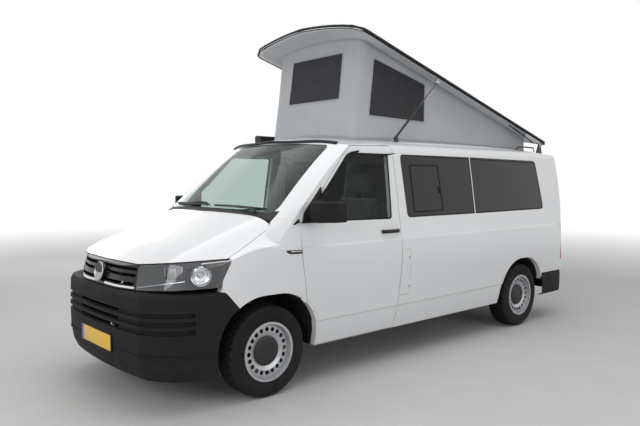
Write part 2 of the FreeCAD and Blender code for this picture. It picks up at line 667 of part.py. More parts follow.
def front_structure():
    """Return the bulkhead, inner wings, strut towers and lock carrier as one welding."""
    bulkhead = block(-830, 830, 1128, 1146, 760, 1235).common(side_form(d.wall + 1))
    parts = [bulkhead, block(-492, 492, 1128, 1146, 474, 770), block(-492, 492, 1140, 1149.4, 474, 520)]
    for side in (1, -1):
        ring = front_arch(482, 1000, d.arch_skin).cut(front_arch(492, 1000))
        ring = ring.common(block(0, 1000, 300, 1370, 300, 900)).common(side_form(d.wall + d.seat_gap))
        ring = biggest(ring.common(upright(liner_plan, 200, 1000)))
        tower = Part.makeCylinder(85, 150, on_kingpin(735), kingpin_axis)
        rail = block(400, 470, 225, 1140, 500, 600)
        web = block(440, 488, 560, 1140, 560, 640)
        apron = block(484, 500, 560, 1140, 560, 860)
        group = [ring, tower, rail, web, apron]
        parts += group if side > 0 else [mirrored(item) for item in group]
    carrier = block(-470, 470, 225, 262, 480, 940).cut(block(-390, 390, 200, 300, 540, 890))
    for x in (-470, 400):
        carrier = carrier.fuse(block(x, x + 70, 60, 225, 505, 540).common(bumper_solid(28 + d.seat_gap, 300, 700)))
    for x in (-250, 210):
        carrier = carrier.fuse(block(x, x + 40, 60, 225, 895, 925).common(plan_form(30 + d.seat_gap)))
    for x in (-570, 450):
        carrier = carrier.fuse(block(x, x + 120, 120, 262, 880, 915).common(plan_form(61.5 + d.seat_gap)))
    frame = fused(parts + [carrier])
    for side in (1, -1):
        well = Part.makeCylinder(72, 160, on_kingpin(700), kingpin_axis)
        hole = Part.makeCylinder(32, 260, on_kingpin(700), kingpin_axis)
        arch = front_arch(492, 1000)
        for tool in (well, hole, arch):
            frame = frame.cut(tool if side > 0 else mirrored(tool))
    return biggest(frame)


def windscreen():
    """Return the windscreen."""
    return pane(screen_face, along, 800, 2200)


def side_windows():
    """Return the fixed side windows, the sliding door's among them."""
    panes = [pane(pane_faces[name], across, 500, 1100) for name in ("left_middle", "left_rear")]
    panes += [pane(pane_faces[name], across, -1100, -500) for name in ("right_middle", "right_rear")]
    return Part.makeCompound(panes)


def fuel_flap():
    """Return the fuel filler's flap."""
    flap = across(flap_face, 700, 1100).common(outer).cut(side_form(14))
    for height in FLAP_HINGES:
        spot = at(d.flap_hinge_side, d.flap_hinge_station, 0)
        flap = flap.cut(Part.makeCylinder(2.2 + d.seat_gap, 30, spot + Vector(0, 0, height - 12)))
        flap = flap.cut(Part.makeCylinder(18, 12, spot + Vector(0, 0, height - 3)))
    return biggest(flap)


def door_trim():
    """Return the left door's mirror and handle."""
    head = side_face(((1150, 1262), (1145, 1400), (1165, 1416), (1228, 1416), (1240, 1400), (1240, 1262)),
                     (18, 18, 12, 12, 12, 18))
    head = across(head, 1004, 1148)
    head = head.makeChamfer(8, head.Edges)
    arm = side_face(((1222, 1268), (1222, 1304), (1300, 1312), (1300, 1268)), (8, 8, 8, 8))
    arm = across(arm, 880, 1030).cut(cabin_solid(-d.seat_gap))
    handle = side_face(((2074, 1128), (2074, 1164), (2290, 1164), (2290, 1128)), 16)
    handle = across(handle, 850, 975).cut(side_form(-d.seat_gap)).common(side_form(-26))
    return Part.makeCompound([fused([head, biggest(arm)]), biggest(handle)])


def dashboard():
    """Return the dashboard with its steering column."""
    profile = side_face(((1146.3, 880), (1146.3, 1262), (1240, 1292), (1400, 1264), (1460, 1170), (1440, 1090),
                         (1360, 960), (1300, 880)), (10, 20, 60, 30, 30, 30, 30, 20))
    column = Part.makeCylinder(32, 316 - d.seat_gap, wheel_point(-340), wheel_axis)
    return fused([across(profile, -800, 800), column])


def seats():
    """Return both front seats and the rear bench."""
    front = side_face(((1745, 520.3), (1720, 840), (1720, 925), (2185, 885), (2300, 1500), (2330, 1640),
                       (2400, 1625), (2385, 1450), (2300, 850), (2240, 520.3)),
                      (10, 30, 40, 60, 200, 30, 30, 150, 150, 10))
    bench = side_face(((3560, 520.3), (3540, 920), (4020, 890), (4130, 1480), (4220, 1480), (4150, 520.3)),
                      (10, 40, 60, 40, 40, 10))
    left = across(front, 150, 660)
    return Part.makeCompound([left, mirrored(left), across(bench, -660, 330)])


def kitchen():
    """Return the cupboards along the left wall."""
    unit = block(430, 860, 2620, 4680, d.floor_height + d.seat_gap, 1190).common(side_form(d.wall + 1))
    tub = rear_arch(680, 1000, d.arch_skin + 1)
    return biggest(unit.cut(tub))


def awning():
    """Return the rolled awning's cassette with its roof brackets."""
    section = front_face(((-905, 1953), (-905, 2024), (-880, 2034), (-812, 2030), (-802, 1953)), (24, 20, 20, 24, 10))
    cassette = along(section, 2100, 4950)
    feet = []
    for station in (2350, 3500, 4650):
        foot = front_face(((-700, 1880), (-700, 1935), (-790, 1975), (-815, 1975), (-815, 1880)), (4, 4, 10, 0, 0))
        feet.append(along(foot, station, station + 60).cut(cabin_solid(-d.seat_gap)))
    return fused([cassette] + [biggest(foot) for foot in feet])


hinge_point = at(0, d.roof_hinge_station, d.roof_hinge_height)


def opened(shape):
    """Turn a shape of the closed pop-up roof to its raised pose."""
    turned = shape.copy()
    turned.rotate(hinge_point, Vector(1, 0, 0), -d.roof_open_angle)
    return turned


def shell_section(half, edge, crown, top):
    """Return a face from the shell's underside up, or its upper side when top is set."""
    base = Part.Arc(at(-half, 0, edge), at(0, 0, crown), at(half, 0, edge)).toShape()
    sides = [line(at(half, 0, edge), at(half, 0, top)), line(at(half, 0, top), at(-half, 0, top)),
             line(at(-half, 0, top), at(-half, 0, edge))]
    return Part.Face(Part.Wire([base] + sides))


ROOF_PLAN = ((-765, 5085), (-765, 1905), (-660, 1850), (0, 1812), (660, 1850), (765, 1905), (765, 5085))
foot_point = at(d.strut_side, d.strut_foot_station, d.strut_foot_height)
top_point = at(d.strut_side, d.strut_top_station, d.strut_top_height)
strut_axis = (top_point - foot_point).normalize()
strut_length = (top_point - foot_point).Length


def under_shell():
    """Return the space taken from the closed shell's underside upwards."""
    section = shell_section(800, 1984, 2082, 2600)
    return along(section, 1500, 5400)


def pop_roof():
    """Return the raised roof shell with its hinge lugs and strut lugs."""
    plan = upright(plan_face(ROOF_PLAN, (60, 90, 150, 1500, 150, 90, 60)), 1900, 2200)
    low = along(shell_section(800, 1984, 2082, 2600), 1500, 5400)
    high = along(shell_section(800, 2016, 2116, 2600), 1500, 5400)
    shell = low.cut(high).common(plan)
    lugs = []
    for x in (704, -712):
        plate = side_face(((5010, 2012), (5070, 2012), (5058, 1960), (5022, 1960)), (0, 0, 17, 17))
        plate = across(plate, x, x + 8).cut(cross_cylinder(8.3, x - 5, x + 15, d.roof_hinge_station,
                                                         d.roof_hinge_height))
        lugs.append(plate)
    raised = opened(fused([shell] + lugs))
    for x in (711, -719):
        lug = Part.makeBox(8, 40, 70, Vector(x, top_point.y - 20, top_point.z - 14))
        raised = raised.fuse(lug.cut(opened(high)))
    return biggest(raised.removeSplitter())


def roof_brackets():
    """Return the hinge brackets and the strut feet on the fixed roof."""
    parts = []
    ground = cabin_solid(-d.seat_gap)
    plate = side_face(((4950, 1860), (5100, 1860), (5062, 1996), (5018, 1996)), (0, 0, 20, 20))
    plate = across(plate, 690, 700).cut(ground)
    pin = cross_cylinder(8, 695, 715, d.roof_hinge_station, d.roof_hinge_height)
    hinge = fused([biggest(plate), pin])
    foot = block(711.5, 719, d.strut_foot_station - 25, d.strut_foot_station + 25, 1880,
                 d.strut_foot_height + 10).cut(ground)
    stud = cross_cylinder(4, 694, 715, d.strut_foot_station, d.strut_foot_height)
    clamp = fused([biggest(foot), stud])
    return Part.makeCompound([hinge, mirrored(hinge), clamp, mirrored(clamp)])


def tent():
    """Return the canvas walls between the fixed roof and the raised shell."""
    profile = ((d.tent_front, 1850), (d.tent_front + 118, 2960), (4900, 2960), (4900, 1850))
    face = side_face(profile, 0)
    skin = across(face, -d.tent_half, d.tent_half)
    room = across(grown(face, -d.tent_wall), -d.tent_half + d.tent_wall, d.tent_half - d.tent_wall)
    walls = skin.cut(room).cut(cabin_solid(-d.seat_gap))
    lid = opened(under_shell().translated(Vector(0, 0, -1.0)))
    return biggest(walls.cut(lid))


TUBE_LENGTH = 460.0
ROD_START = 430.0


def strut_tube():
    """Return the left roof strut's tube."""
    tube = Part.makeCylinder(11, TUBE_LENGTH - 12, foot_point + strut_axis * 12, strut_axis)
    eye = Part.makeCylinder(13, 12, foot_point - Vector(6, 0, 0), Vector(1, 0, 0))
    tube = fused([tube, eye])
    tube = tube.cut(Part.makeCylinder(5.1, TUBE_LENGTH, foot_point + strut_axis * 40, strut_axis))
    return tube.cut(Part.makeCylinder(4.3, 40, foot_point - Vector(20, 0, 0), Vector(1, 0, 0)))


def strut_rod():
    """Return the left roof strut's rod."""
    rod = Part.makeCylinder(5, strut_length - ROD_START - 8, foot_point + strut_axis * ROD_START, strut_axis)
    eye = Part.makeCylinder(12, 12, top_point - Vector(6, 0, 0), Vector(1, 0, 0))
    return fused([rod, eye]).cut(Part.makeCylinder(4.3, 40, top_point - Vector(20, 0, 0), Vector(1, 0, 0)))


wheel_centre = at(395, 1605, 1180)
wheel_axis = Vector(0, math.cos(math.radians(40)), math.sin(math.radians(40)))


def wheel_point(reach):
    """Return the point on the steering column's axis at a reach above the wheel's hub."""
    return wheel_centre + wheel_axis * reach


def steering_wheel():
    """Return the steering wheel with its three spokes."""
    corners = []
    for step in range(8):
        turn = math.radians(45 * step + 22.5)
        corners.append(Vector(d.wheel_rim_radius + 14 * math.cos(turn), 0, 14 * math.sin(turn)))
    section = Part.Face(Part.makePolygon(corners + corners[:1]))
    ring = section.revolve(Vector(0, 0, 0), Vector(0, 0, 1), 360)
    hub = Part.makeCylinder(62, 40, Vector(0, 0, -24))
    spokes = [Part.makeBox(2 * d.wheel_rim_radius, 26, 13, Vector(-d.wheel_rim_radius, -13, -8)),
              Part.makeBox(26, d.wheel_rim_radius, 13, Vector(-13, 0, -8))]
    wheel = fused([ring, hub] + spokes)
    wheel.Placement = Placement(wheel_centre, Rotation(Vector(1, 0, 0), -50))
    return wheel


kingpin_low = at(d.kingpin_half, FRONT_HUB, 215)
kingpin_high = at(d.tower_half, FRONT_HUB, 850)
kingpin_axis = (kingpin_high - kingpin_low).normalize()


def on_kingpin(z):
    """Return the point of the kingpin axis at a height."""
    return kingpin_low + kingpin_axis * ((z - kingpin_low.z) / kingpin_axis.z)


def knuckle():
    """Return the left knuckle with its damper."""
    upright_block = block(718, 762, FRONT_HUB - 28, FRONT_HUB + 28, 235, 440)
    carrier = cross_cylinder(52, 722, 790, FRONT_HUB, d.hub_height)
    shield = cross_cylinder(150, 786, 790, FRONT_HUB, d.hub_height)
    stub = cross_cylinder(24, 780, STUB_END, FRONT_HUB, d.hub_height)
    ball = Part.makeCylinder(13, 24, on_kingpin(219.6), kingpin_axis)
    damper = Part.makeCylinder(24, 380, on_kingpin(390), kingpin_axis)
    rod = Part.makeCylinder(10, 150, on_kingpin(750), kingpin_axis)
    return fused([upright_block, carrier, shield, stub, ball, damper, rod])


WHEEL_INSIDE = d.track_half - d.tyre_width / 2
STUB_END = WHEEL_INSIDE + 150 - d.seat_gap


def front_suspension():
    """Return the front subframe with both lower arms and the steering rack."""
    frame = block(-380, 380, 760, 1090, 250, 305)
    frame = frame.fuse(block(-470, -400, 800, 1000, 260, 499.7).fuse(block(400, 470, 800, 1000, 260, 499.7)))
    arms = []
    plan = plan_face(((370, 780), (370, 1060), (700, 935), (770, 935), (770, 881), (700, 881)),
                     (20, 20, 60, 20, 20, 60))
    for arm in (upright(plan, 190, 216.5), upright(plan, 190, 216.5)):
        arms.append(arm)
    arms[1] = mirrored(arms[1])
    ribs = [block(370, 400, 780, 1060, 190, 300), block(-400, -370, 780, 1060, 190, 300)]
    engine_mount = block(-60, 60, 770, 830, 300, 400 - d.seat_gap)
    return fused([frame, *ribs, *arms, engine_mount])


def rear_axle():
    """Return the rear subframe with its arms and hub carriers."""
    beam = cross_cylinder(38, -520, 520, REAR_HUB - 230, 330)
    parts = [beam]
    for side in (1, -1):
        arm = plan_face(((440, REAR_HUB - 250), (440, REAR_HUB - 190), (640, REAR_HUB + 60), (712, REAR_HUB + 60),
                         (712, REAR_HUB - 60), (540, REAR_HUB - 250)), 15)
        arm = upright(arm, 296, 366)
        hub = cross_cylinder(55, 640, 790, REAR_HUB, d.hub_height)
        shield = cross_cylinder(150, 784, 788, REAR_HUB, d.hub_height)
        stub = cross_cylinder(24, 780, STUB_END, REAR_HUB, d.hub_height)
        spring = Part.makeCylinder(55, 474 - 366, at(590, REAR_HUB - 60, 366 - 0.0))
        group = [arm, hub, shield, stub, spring]
        parts += group if side > 0 else [mirrored(item) for item in group]
    return fused(parts)


def exhaust():
    """Return the exhaust pipe with its silencer."""
    pipe = Part.makeCylinder(27, 1900, at(-180, 1120, 330), Vector(0, 1, 0))
    silencer = Part.makeCylinder(88, 620, at(-180, 2850, 305.7), Vector(0, 1, 0))
    tail = Part.makeCylinder(27, 420, at(-180, 3400, 330), Vector(0, 1, 0))
    return fused([pipe, silencer, tail])


WHEEL_PROFILES = {
    "tyre": (("9.6", "rim"), ("wide - 9.6", "rim"), ("wide - 9.6", "tread - 26"), ("wide - 34", "tread"),
             ("9.6", "tread")),
    "rim": (("2", "flange"), ("9.3", "flange"), ("9.3", "seat"), ("wide - 9.3", "seat"), ("wide - 9.3", "flange"),
            ("wide - 2", "flange"), ("wide - 2", "seat - 6.5"), ("165", "seat - 6.5"), ("172", "184"),
            ("172", "140"), ("158", "108"), ("158", "84"), ("171", "76"), ("171", "0"), ("150", "0"),
            ("150", "110"), ("164", "142"), ("164", "180"), ("152", "seat - 6.5"), ("2", "seat - 6.5")),
}
WORDS = {"wide": "Sizes.tyre_width", "rim": "Sizes.rim_radius", "tread": "Sizes.tyre_radius",
         "flange": "Sizes.flange_radius", "seat": "(Sizes.rim_radius - Sizes.seat_gap)"}


def spelled(text):
    """Return a profile's short expression with the sheet's names in it."""
    return " ".join(WORDS.get(word, word) for word in text.split())


def add_profile(body, role, name, points):
    """Draw a closed outline whose corners are bound to expressions."""
    sketch = body.newObject("Sketcher::SketchObject", name)
    plane = next(item for item in body.Origin.OriginFeatures if item.Role == role)
    sketch.AttachmentSupport = [(plane, "")]
    sketch.MapMode = "FlatFace"
    spots = [tuple(float(sheet.evalExpression(spelled(word))) for word in point) for point in points]
    count = len(spots)
    for index, spot in enumerate(spots):
        after = spots[(index + 1) % count]
        sketch.addGeometry(Part.LineSegment(Vector(*spot, 0), Vector(*after, 0)))
    for index in range(count):
        sketch.addConstraint(Sketcher.Constraint("Coincident", index, 2, (index + 1) % count, 1))
    for index, (spot, words) in enumerate(zip(spots, points)):
        for kind, value, word in (("DistanceX", spot[0], words[0]), ("DistanceY", spot[1], words[1])):
            number = sketch.addConstraint(Sketcher.Constraint(kind, -1, 1, index, 1, value))
            sketch.setExpression(f"Constraints[{number}]", spelled(word))
    return sketch


def wheel_body(name, kind, side, station_words):
    """Build a tyre or a rim as a revolved body and seat it on its hub."""
    body = doc.addObject("PartDesign::Body", name)
    body.Label = name
    sketch = add_profile(body, "XZ_Plane", name + "_profile", WHEEL_PROFILES[kind])
    turned = body.newObject("PartDesign::Revolution", name + "_revolved")
    turned.Profile = sketch
    turned.ReferenceAxis = (sketch, ["H_Axis"])
    turned.Angle = 360
    doc.recompute()
    if kind == "rim":
        holes = body.newObject("Sketcher::SketchObject", name + "_hole")
        plane = next(item for item in body.Origin.OriginFeatures if item.Role == "YZ_Plane")
        holes.AttachmentSupport = [(plane, "")]
        holes.MapMode = "FlatFace"
        holes.addGeometry(Part.Circle(Vector(0, 160, 0), Vector(0, 0, 1), 17))
        pocket = body.newObject("PartDesign::Pocket", name + "_vent")
        pocket.Profile = holes
        pocket.Type = 1
        pocket.Reversed = True
        ring = body.newObject("PartDesign::PolarPattern", name + "_vents")
        ring.Originals = [pocket]
        ring.Axis = (sketch, ["H_Axis"])
        ring.Angle = 360
        ring.Occurrences = 20
        body.Tip = ring
    body.setExpression("Placement.Base.x", f"{side} * (Sizes.track_half - Sizes.tyre_width / 2)")
    body.setExpression("Placement.Base.y", station_words)
    body.setExpression("Placement.Base.z", "Sizes.hub_height")
    if side < 0:
        body.Placement = Placement(body.Placement.Base, Rotation(Vector(0, 0, 1), 180))
    nodes.append(body)
    return body


PANELS = (
    ("floor_pan", floor_pan), ("front_structure", front_structure), ("scuttle", scuttle),
    ("side_panel_left", side_panel_left), ("side_panel_right", side_panel_right), ("roof_panel", roof_panel),
    ("front_wings", lambda: both(wing())), ("front_bumper", front_bumper), ("rear_bumper", rear_bumper),
    ("grille", grille), ("headlamps", lambda: both(headlamp())),
    ("headlamp_lenses", lambda: both(headlamp_lens())), ("tail_lamps", lambda: both(tail_lamp())),
    ("windscreen", windscreen), ("side_windows", side_windows), ("sliding_door", sliding_door),
    ("dashboard", dashboard), ("seats", seats), ("kitchen_unit", kitchen), ("awning", awning),
    ("roof_brackets", roof_brackets), ("tent", tent), ("front_suspension", front_suspension),
    ("rear_axle", rear_axle), ("exhaust", exhaust), ("bonnet", bonnet), ("tailgate", tailgate),
    ("tailgate_glass", lambda: pane(gate_window_face, along, 4900, 5500)), ("pop_roof", pop_roof),
    ("fuel_flap", fuel_flap), ("steering_wheel", steering_wheel),
)
PAIRS = (
    ("front_door", door_panel), ("door_glass", lambda: pane(door_window_face, across, 400, 1100)),
    ("door_trim", door_trim), ("knuckle", knuckle), ("strut_tube", strut_tube), ("strut_rod", strut_rod),
)


def bound_box(name, base, extent):
    """Add a box whose place and size follow expressions."""
    box = doc.addObject("Part::Box", name)
    box.Label = name
    for axis, words in zip("xyz", base):
        box.setExpression(f"Placement.Base.{axis}", words)
    for side, words in zip(("Length", "Width", "Height"), extent):
        box.setExpression(side, words)
    nodes.append(box)
    return box


def build():
    """Build every sub-part in the document."""
    for name, maker in PANELS:
        feature(name, maker())
    for name, maker in PAIRS:
        shape = maker()
        feature(name + "_left", shape)
        feature(name + "_right", mirrored(shape))
    half = "(Sizes.front_overhang + Sizes.wheelbase + Sizes.rear_overhang) / 2"
    bound_box("engine_block", ("-330", f"520 - {half}", "400"), ("630", "320", "540"))
    bound_box("fuel_tank", ("100", f"1620 - {half}", "248.7"), ("600", "700", "130"))
    for axle, words in (("front", f"Sizes.front_overhang - {half}"),
                        ("rear", f"Sizes.front_overhang + Sizes.wheelbase - {half}")):
        for side, sign in (("left", 1), ("right", -1)):
            for kind in ("tyre", "rim"):
                wheel_body(f"{kind}_{axle}_{side}", kind, sign, words)
    doc.recompute()


def export():
    """Check every object and write one file for each sub-part."""
    bad = [item.Name for item in doc.Objects if {"Invalid", "Error"} & set(item.State)]
    bad += [item.Label for item in nodes if item.Shape.isNull() or not item.Shape.isValid()]
    if bad:
        raise RuntimeError("failed objects: " + ", ".join(bad))
    os.makedirs("parts", exist_ok=True)
    for item in nodes:
        item.Shape.exportStep(os.path.join("parts", item.Label + ".step"))
    print(len(nodes), "sub-parts written")


if __name__ == "__main__":
    build()
    export()
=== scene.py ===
"""Looks of the camper van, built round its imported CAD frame.

X points to the vehicle's left, Y to its rear and Z up. Blender works in metres. Places are given in
millimetres: widths from the middle, stations behind the front bumper's face, and heights from the ground.
"""

import json
import logging
import math
from collections.abc import Callable, Iterable, Sequence
from dataclasses import dataclass, field
from enum import Enum
from functools import partial
from typing import ClassVar

import bmesh
import bpy
from mathutils import Matrix, Quaternion, Vector
from mathutils.bvhtree import BVHTree
from mathutils.noise import noise


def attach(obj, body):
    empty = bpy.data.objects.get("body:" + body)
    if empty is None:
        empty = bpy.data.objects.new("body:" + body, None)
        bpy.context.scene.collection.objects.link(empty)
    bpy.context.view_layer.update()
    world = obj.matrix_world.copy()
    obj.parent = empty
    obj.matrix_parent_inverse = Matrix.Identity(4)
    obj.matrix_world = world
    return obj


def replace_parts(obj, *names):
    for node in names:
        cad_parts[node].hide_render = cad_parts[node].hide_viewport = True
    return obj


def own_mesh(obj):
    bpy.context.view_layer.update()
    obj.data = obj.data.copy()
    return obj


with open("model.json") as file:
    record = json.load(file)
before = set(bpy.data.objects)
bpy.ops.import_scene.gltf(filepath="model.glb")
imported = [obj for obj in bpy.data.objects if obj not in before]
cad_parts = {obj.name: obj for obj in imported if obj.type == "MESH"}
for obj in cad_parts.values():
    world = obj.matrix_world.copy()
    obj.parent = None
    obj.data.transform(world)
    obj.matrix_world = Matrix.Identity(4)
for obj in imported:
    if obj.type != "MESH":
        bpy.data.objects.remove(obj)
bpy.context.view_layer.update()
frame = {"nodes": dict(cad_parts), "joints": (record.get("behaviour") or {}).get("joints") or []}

log = logging.getLogger("camper_van")

MM = 0.001
HALF_LENGTH = 2652.0
FRONT_HUB = 908.0
REAR_HUB = 4308.0
HUB_HEIGHT = 336.5
TRACK_HALF = 814.0
SIDES = (("left", 1), ("right", -1))
CORNERS = ((-1, -1), (1, -1), (1, 1), (-1, 1))
UP = Vector((0, 0, 1))

Pair = tuple[float, float]
Colour = tuple[float, float, float]
Look = Callable[[float, float], Vector]


def at(x: float, station: float, z: float) -> Vector:
    """Return the point at a width, a station and a height, in metres."""
    return Vector((x, station - HALF_LENGTH, z)) * MM


class Grain(Enum):
    """The kinds of fine relief a finish can have."""

    SMOOTH = "smooth"
    LEATHER = "leather"
    CAST = "cast"
    WEAVE = "weave"
    BRUSHED = "brushed"


class NodeKit:
    """Adds and links shader nodes in one tree."""

    def __init__(self, tree: bpy.types.NodeTree) -> None:
        """Keep the tree.

        Args:
            tree: the node tree to fill.
        """
        self.tree = tree

    def add(self, kind: str, sockets: dict[str | int, object] | None = None,
            **settings: object) -> bpy.types.Node:
        """Add a node.

        Args:
            kind: the node's class name without its ShaderNode prefix.
            sockets: values or output sockets for its inputs.
            settings: attributes of the node.

        Returns:
            The new node.
        """
        name = kind if kind.startswith("Node") else "ShaderNode" + kind
        node = self.tree.nodes.new(name)
        for key, value in settings.items():
            setattr(node, key, value)
        for key, value in (sockets or {}).items():
            if isinstance(value, bpy.types.NodeSocket):
                self.tree.links.new(value, node.inputs[key])
            else:
                node.inputs[key].default_value = value
        return node

    def math(self, operation: str, first: object, second: object = 0.0) -> bpy.types.NodeSocket:
        """Return the result of a maths node."""
        return self.add("Math", {0: first, 1: second}, operation=operation).outputs[0]


def shared_group(name: str, inputs: Sequence[tuple[str, str]], outputs: Sequence[tuple[str, str]],
                 fill: Callable[[NodeKit, bpy.types.Node, bpy.types.Node], None]) -> bpy.types.NodeTree:
    """Return a shader node group, made the first time it is asked for.

    Args:
        name: the group's name.
        inputs: name and type of each input socket.
        outputs: name and type of each output socket.
        fill: draws the group's nodes between its input node and its output node.

    Returns:
        The node group.
    """
    known = bpy.data.node_groups.get(name)
    if known:
        return known
    tree = bpy.data.node_groups.new(name, "ShaderNodeTree")
    for label, kind in inputs:
        tree.interface.new_socket(label, in_out="INPUT", socket_type="NodeSocket" + kind)
    for label, kind in outputs:
        tree.interface.new_socket(label, in_out="OUTPUT", socket_type="NodeSocket" + kind)
    kit = NodeKit(tree)
    fill(kit, kit.add("NodeGroupInput"), kit.add("NodeGroupOutput"))
    return tree


def tone_group() -> bpy.types.NodeTree:
    """Return the group that varies a colour and a roughness in soft patches."""

    def fill(kit: NodeKit, source: bpy.types.Node, target: bpy.types.Node) -> None:
        """Draw two noises, one for each of the outputs."""
        given = source.outputs
        patches = kit.add("TexNoise", {"Vector": given["Vector"], "Scale": given["Scale"], "Detail": 4.0})
        wave = kit.math("MULTIPLY", kit.math("SUBTRACT", patches.outputs["Fac"], 0.5), given["Amount"])
        factor = kit.math("ADD", wave, 1.0)
        tinted = kit.add("VectorMath", {0: given["Color"], "Scale": factor}, operation="SCALE")
        finer = kit.math("MULTIPLY", given["Scale"], 2.7)
        smears = kit.add("TexNoise", {"Vector": given["Vector"], "Scale": finer, "Detail": 3.0})
        change = kit.math("MULTIPLY", kit.math("SUBTRACT", smears.outputs["Fac"], 0.5), given["Spread"])
        rough = kit.math("ADD", change, given["Roughness"])
        kit.tree.links.new(tinted.outputs[0], target.inputs["Color"])
        kit.tree.links.new(rough, target.inputs["Roughness"])

    return shared_group("tone", (("Color", "Color"), ("Vector", "Vector"), ("Scale", "Float"),
                                 ("Amount", "Float"), ("Roughness", "Float"), ("Spread", "Float")),
                        (("Color", "Color"), ("Roughness", "Float")), fill)


def grain_group(grain: Grain) -> bpy.types.NodeTree:
    """Return the group that gives the height of one kind of fine relief."""

    def fill(kit: NodeKit, source: bpy.types.Node, target: bpy.types.Node) -> None:
        """Draw the relief of this kind."""
        vector, scale = source.outputs["Vector"], source.outputs["Scale"]
        if grain is Grain.LEATHER:
            cells = kit.add("TexVoronoi", {"Vector": vector, "Scale": scale}, feature="SMOOTH_F1")
            fine = kit.add("TexNoise", {"Vector": vector, "Scale": kit.math("MULTIPLY", scale, 2.0),
                                        "Detail": 2.0})
            height = kit.math("ADD", cells.outputs["Distance"],
                              kit.math("MULTIPLY", fine.outputs["Fac"], 0.5))
        elif grain is Grain.WEAVE:
            threads = []
            for axis in ("X", "Y", "Z"):
                wave = kit.add("TexWave", {"Vector": vector, "Scale": scale, "Distortion": 0.4},
                               bands_direction=axis, wave_profile="SIN")
                threads.append(wave.outputs["Fac"])
            height = kit.math("MAXIMUM", kit.math("MULTIPLY", threads[0], threads[2]),
                              kit.math("MULTIPLY", threads[1], threads[2]))
        elif grain is Grain.BRUSHED:
            drawn = kit.add("Mapping", {"Vector": vector, "Scale": (1.0, 0.02, 1.0)})
            height = kit.add("TexNoise", {"Vector": drawn.outputs[0], "Scale": scale,
                                          "Detail": 3.0}).outputs["Fac"]
        else:
            detail = 8.0 if grain is Grain.CAST else 1.0
            height = kit.add("TexNoise", {"Vector": vector, "Scale": scale, "Detail": detail}).outputs["Fac"]
        kit.tree.links.new(height, target.inputs["Height"])

    return shared_group("relief_" + grain.value, (("Vector", "Vector"), ("Scale", "Float")),
                        (("Height", "Float"),), fill)


def dust_group() -> bpy.types.NodeTree:
    """Return the group that masks road dust, thickest near the ground."""

    def fill(kit: NodeKit, source: bpy.types.Node, target: bpy.types.Node) -> None:
        """Draw a fall-off with height, broken up by noise."""
        given = source.outputs
        height = kit.add("SeparateXYZ", {0: given["Vector"]}).outputs["Z"]
        fade = kit.add("MapRange", {"Value": height, "From Min": given["Top"], "From Max": 0.1,
                                    "To Min": 0.0, "To Max": 1.0}).outputs[0]
        specks = kit.add("TexNoise", {"Vector": given["Vector"], "Scale": 14.0,
                                      "Detail": 8.0}).outputs["Fac"]
        mask = kit.math("MULTIPLY", kit.math("MULTIPLY", fade, specks), given["Amount"])
        kit.tree.links.new(mask, target.inputs["Mask"])

    return shared_group("road_dust", (("Vector", "Vector"), ("Top", "Float"), ("Amount", "Float")),
                        (("Mask", "Float"),), fill)


@dataclass(frozen=True)
class Finish:
    """One surface finish and the numbers behind its nodes."""

    name: str
    color: Colour
    roughness: float = 0.5
    spread: float = 0.08
    tone: float = 0.06
    tone_scale: float = 5.0
    metallic: float = 0.0
    coat: float = 0.0
    coat_roughness: float = 0.05
    sheen: float = 0.0
    grain: Grain = Grain.SMOOTH
    grain_scale: float = 250.0
    depth: float = 0.05
    transmission: float = 0.0
    ior: float = 1.5
    dust: float = 0.0
    dust_top: float = 0.9
    dust_color: Colour = (0.30, 0.27, 0.23)
    emission: float = 0.0
    shelf: ClassVar[dict[str, bpy.types.Material]] = {}

    def material(self) -> bpy.types.Material:
        """Return the material of this finish, made the first time it is asked for."""
        if self.name in Finish.shelf:
            return Finish.shelf[self.name]
        made = bpy.data.materials.new("look_" + self.name)
        Finish.shelf[self.name] = made
        made.use_nodes = True
        made.node_tree.nodes.clear()
        kit = NodeKit(made.node_tree)
        place = kit.add("TexCoord").outputs["Object"]
        tone = kit.add("Group", node_tree=tone_group())
        tone.inputs["Color"].default_value = (*self.color, 1.0)
        for label, value in (("Scale", self.tone_scale), ("Amount", self.tone * 4),
                             ("Roughness", self.roughness), ("Spread", self.spread * 3)):
            tone.inputs[label].default_value = value
        made.node_tree.links.new(place, tone.inputs["Vector"])
        relief = kit.add("Group", node_tree=grain_group(self.grain))
        relief.inputs["Scale"].default_value = self.grain_scale
        made.node_tree.links.new(place, relief.inputs["Vector"])
        bump = kit.add("Bump", {"Height": relief.outputs["Height"], "Strength": self.depth,
                                "Distance": 0.002})
        color = tone.outputs["Color"]
        if self.dust:
            dust = kit.add("Group", node_tree=dust_group())
            made.node_tree.links.new(place, dust.inputs["Vector"])
            dust.inputs["Top"].default_value = self.dust_top
            dust.inputs["Amount"].default_value = self.dust
            mixed = kit.add("Mix", {0: dust.outputs["Mask"], 6: color, 7: (*self.dust_color, 1.0)},
                            data_type="RGBA")
            color = mixed.outputs[2]
        shader = kit.add("BsdfPrincipled", {
            "Base Color": color, "Roughness": tone.outputs["Roughness"], "Normal": bump.outputs[0],
            "Metallic": self.metallic, "Coat Weight": self.coat, "Coat Roughness": self.coat_roughness,
            "Sheen Weight": self.sheen, "Transmission Weight": self.transmission, "IOR": self.ior})
        if self.emission:
            shader.inputs["Emission Color"].default_value = (*self.color, 1.0)
            shader.inputs["Emission Strength"].default_value = self.emission
        kit.add("OutputMaterial", {"Surface": shader.outputs[0]})
        return made


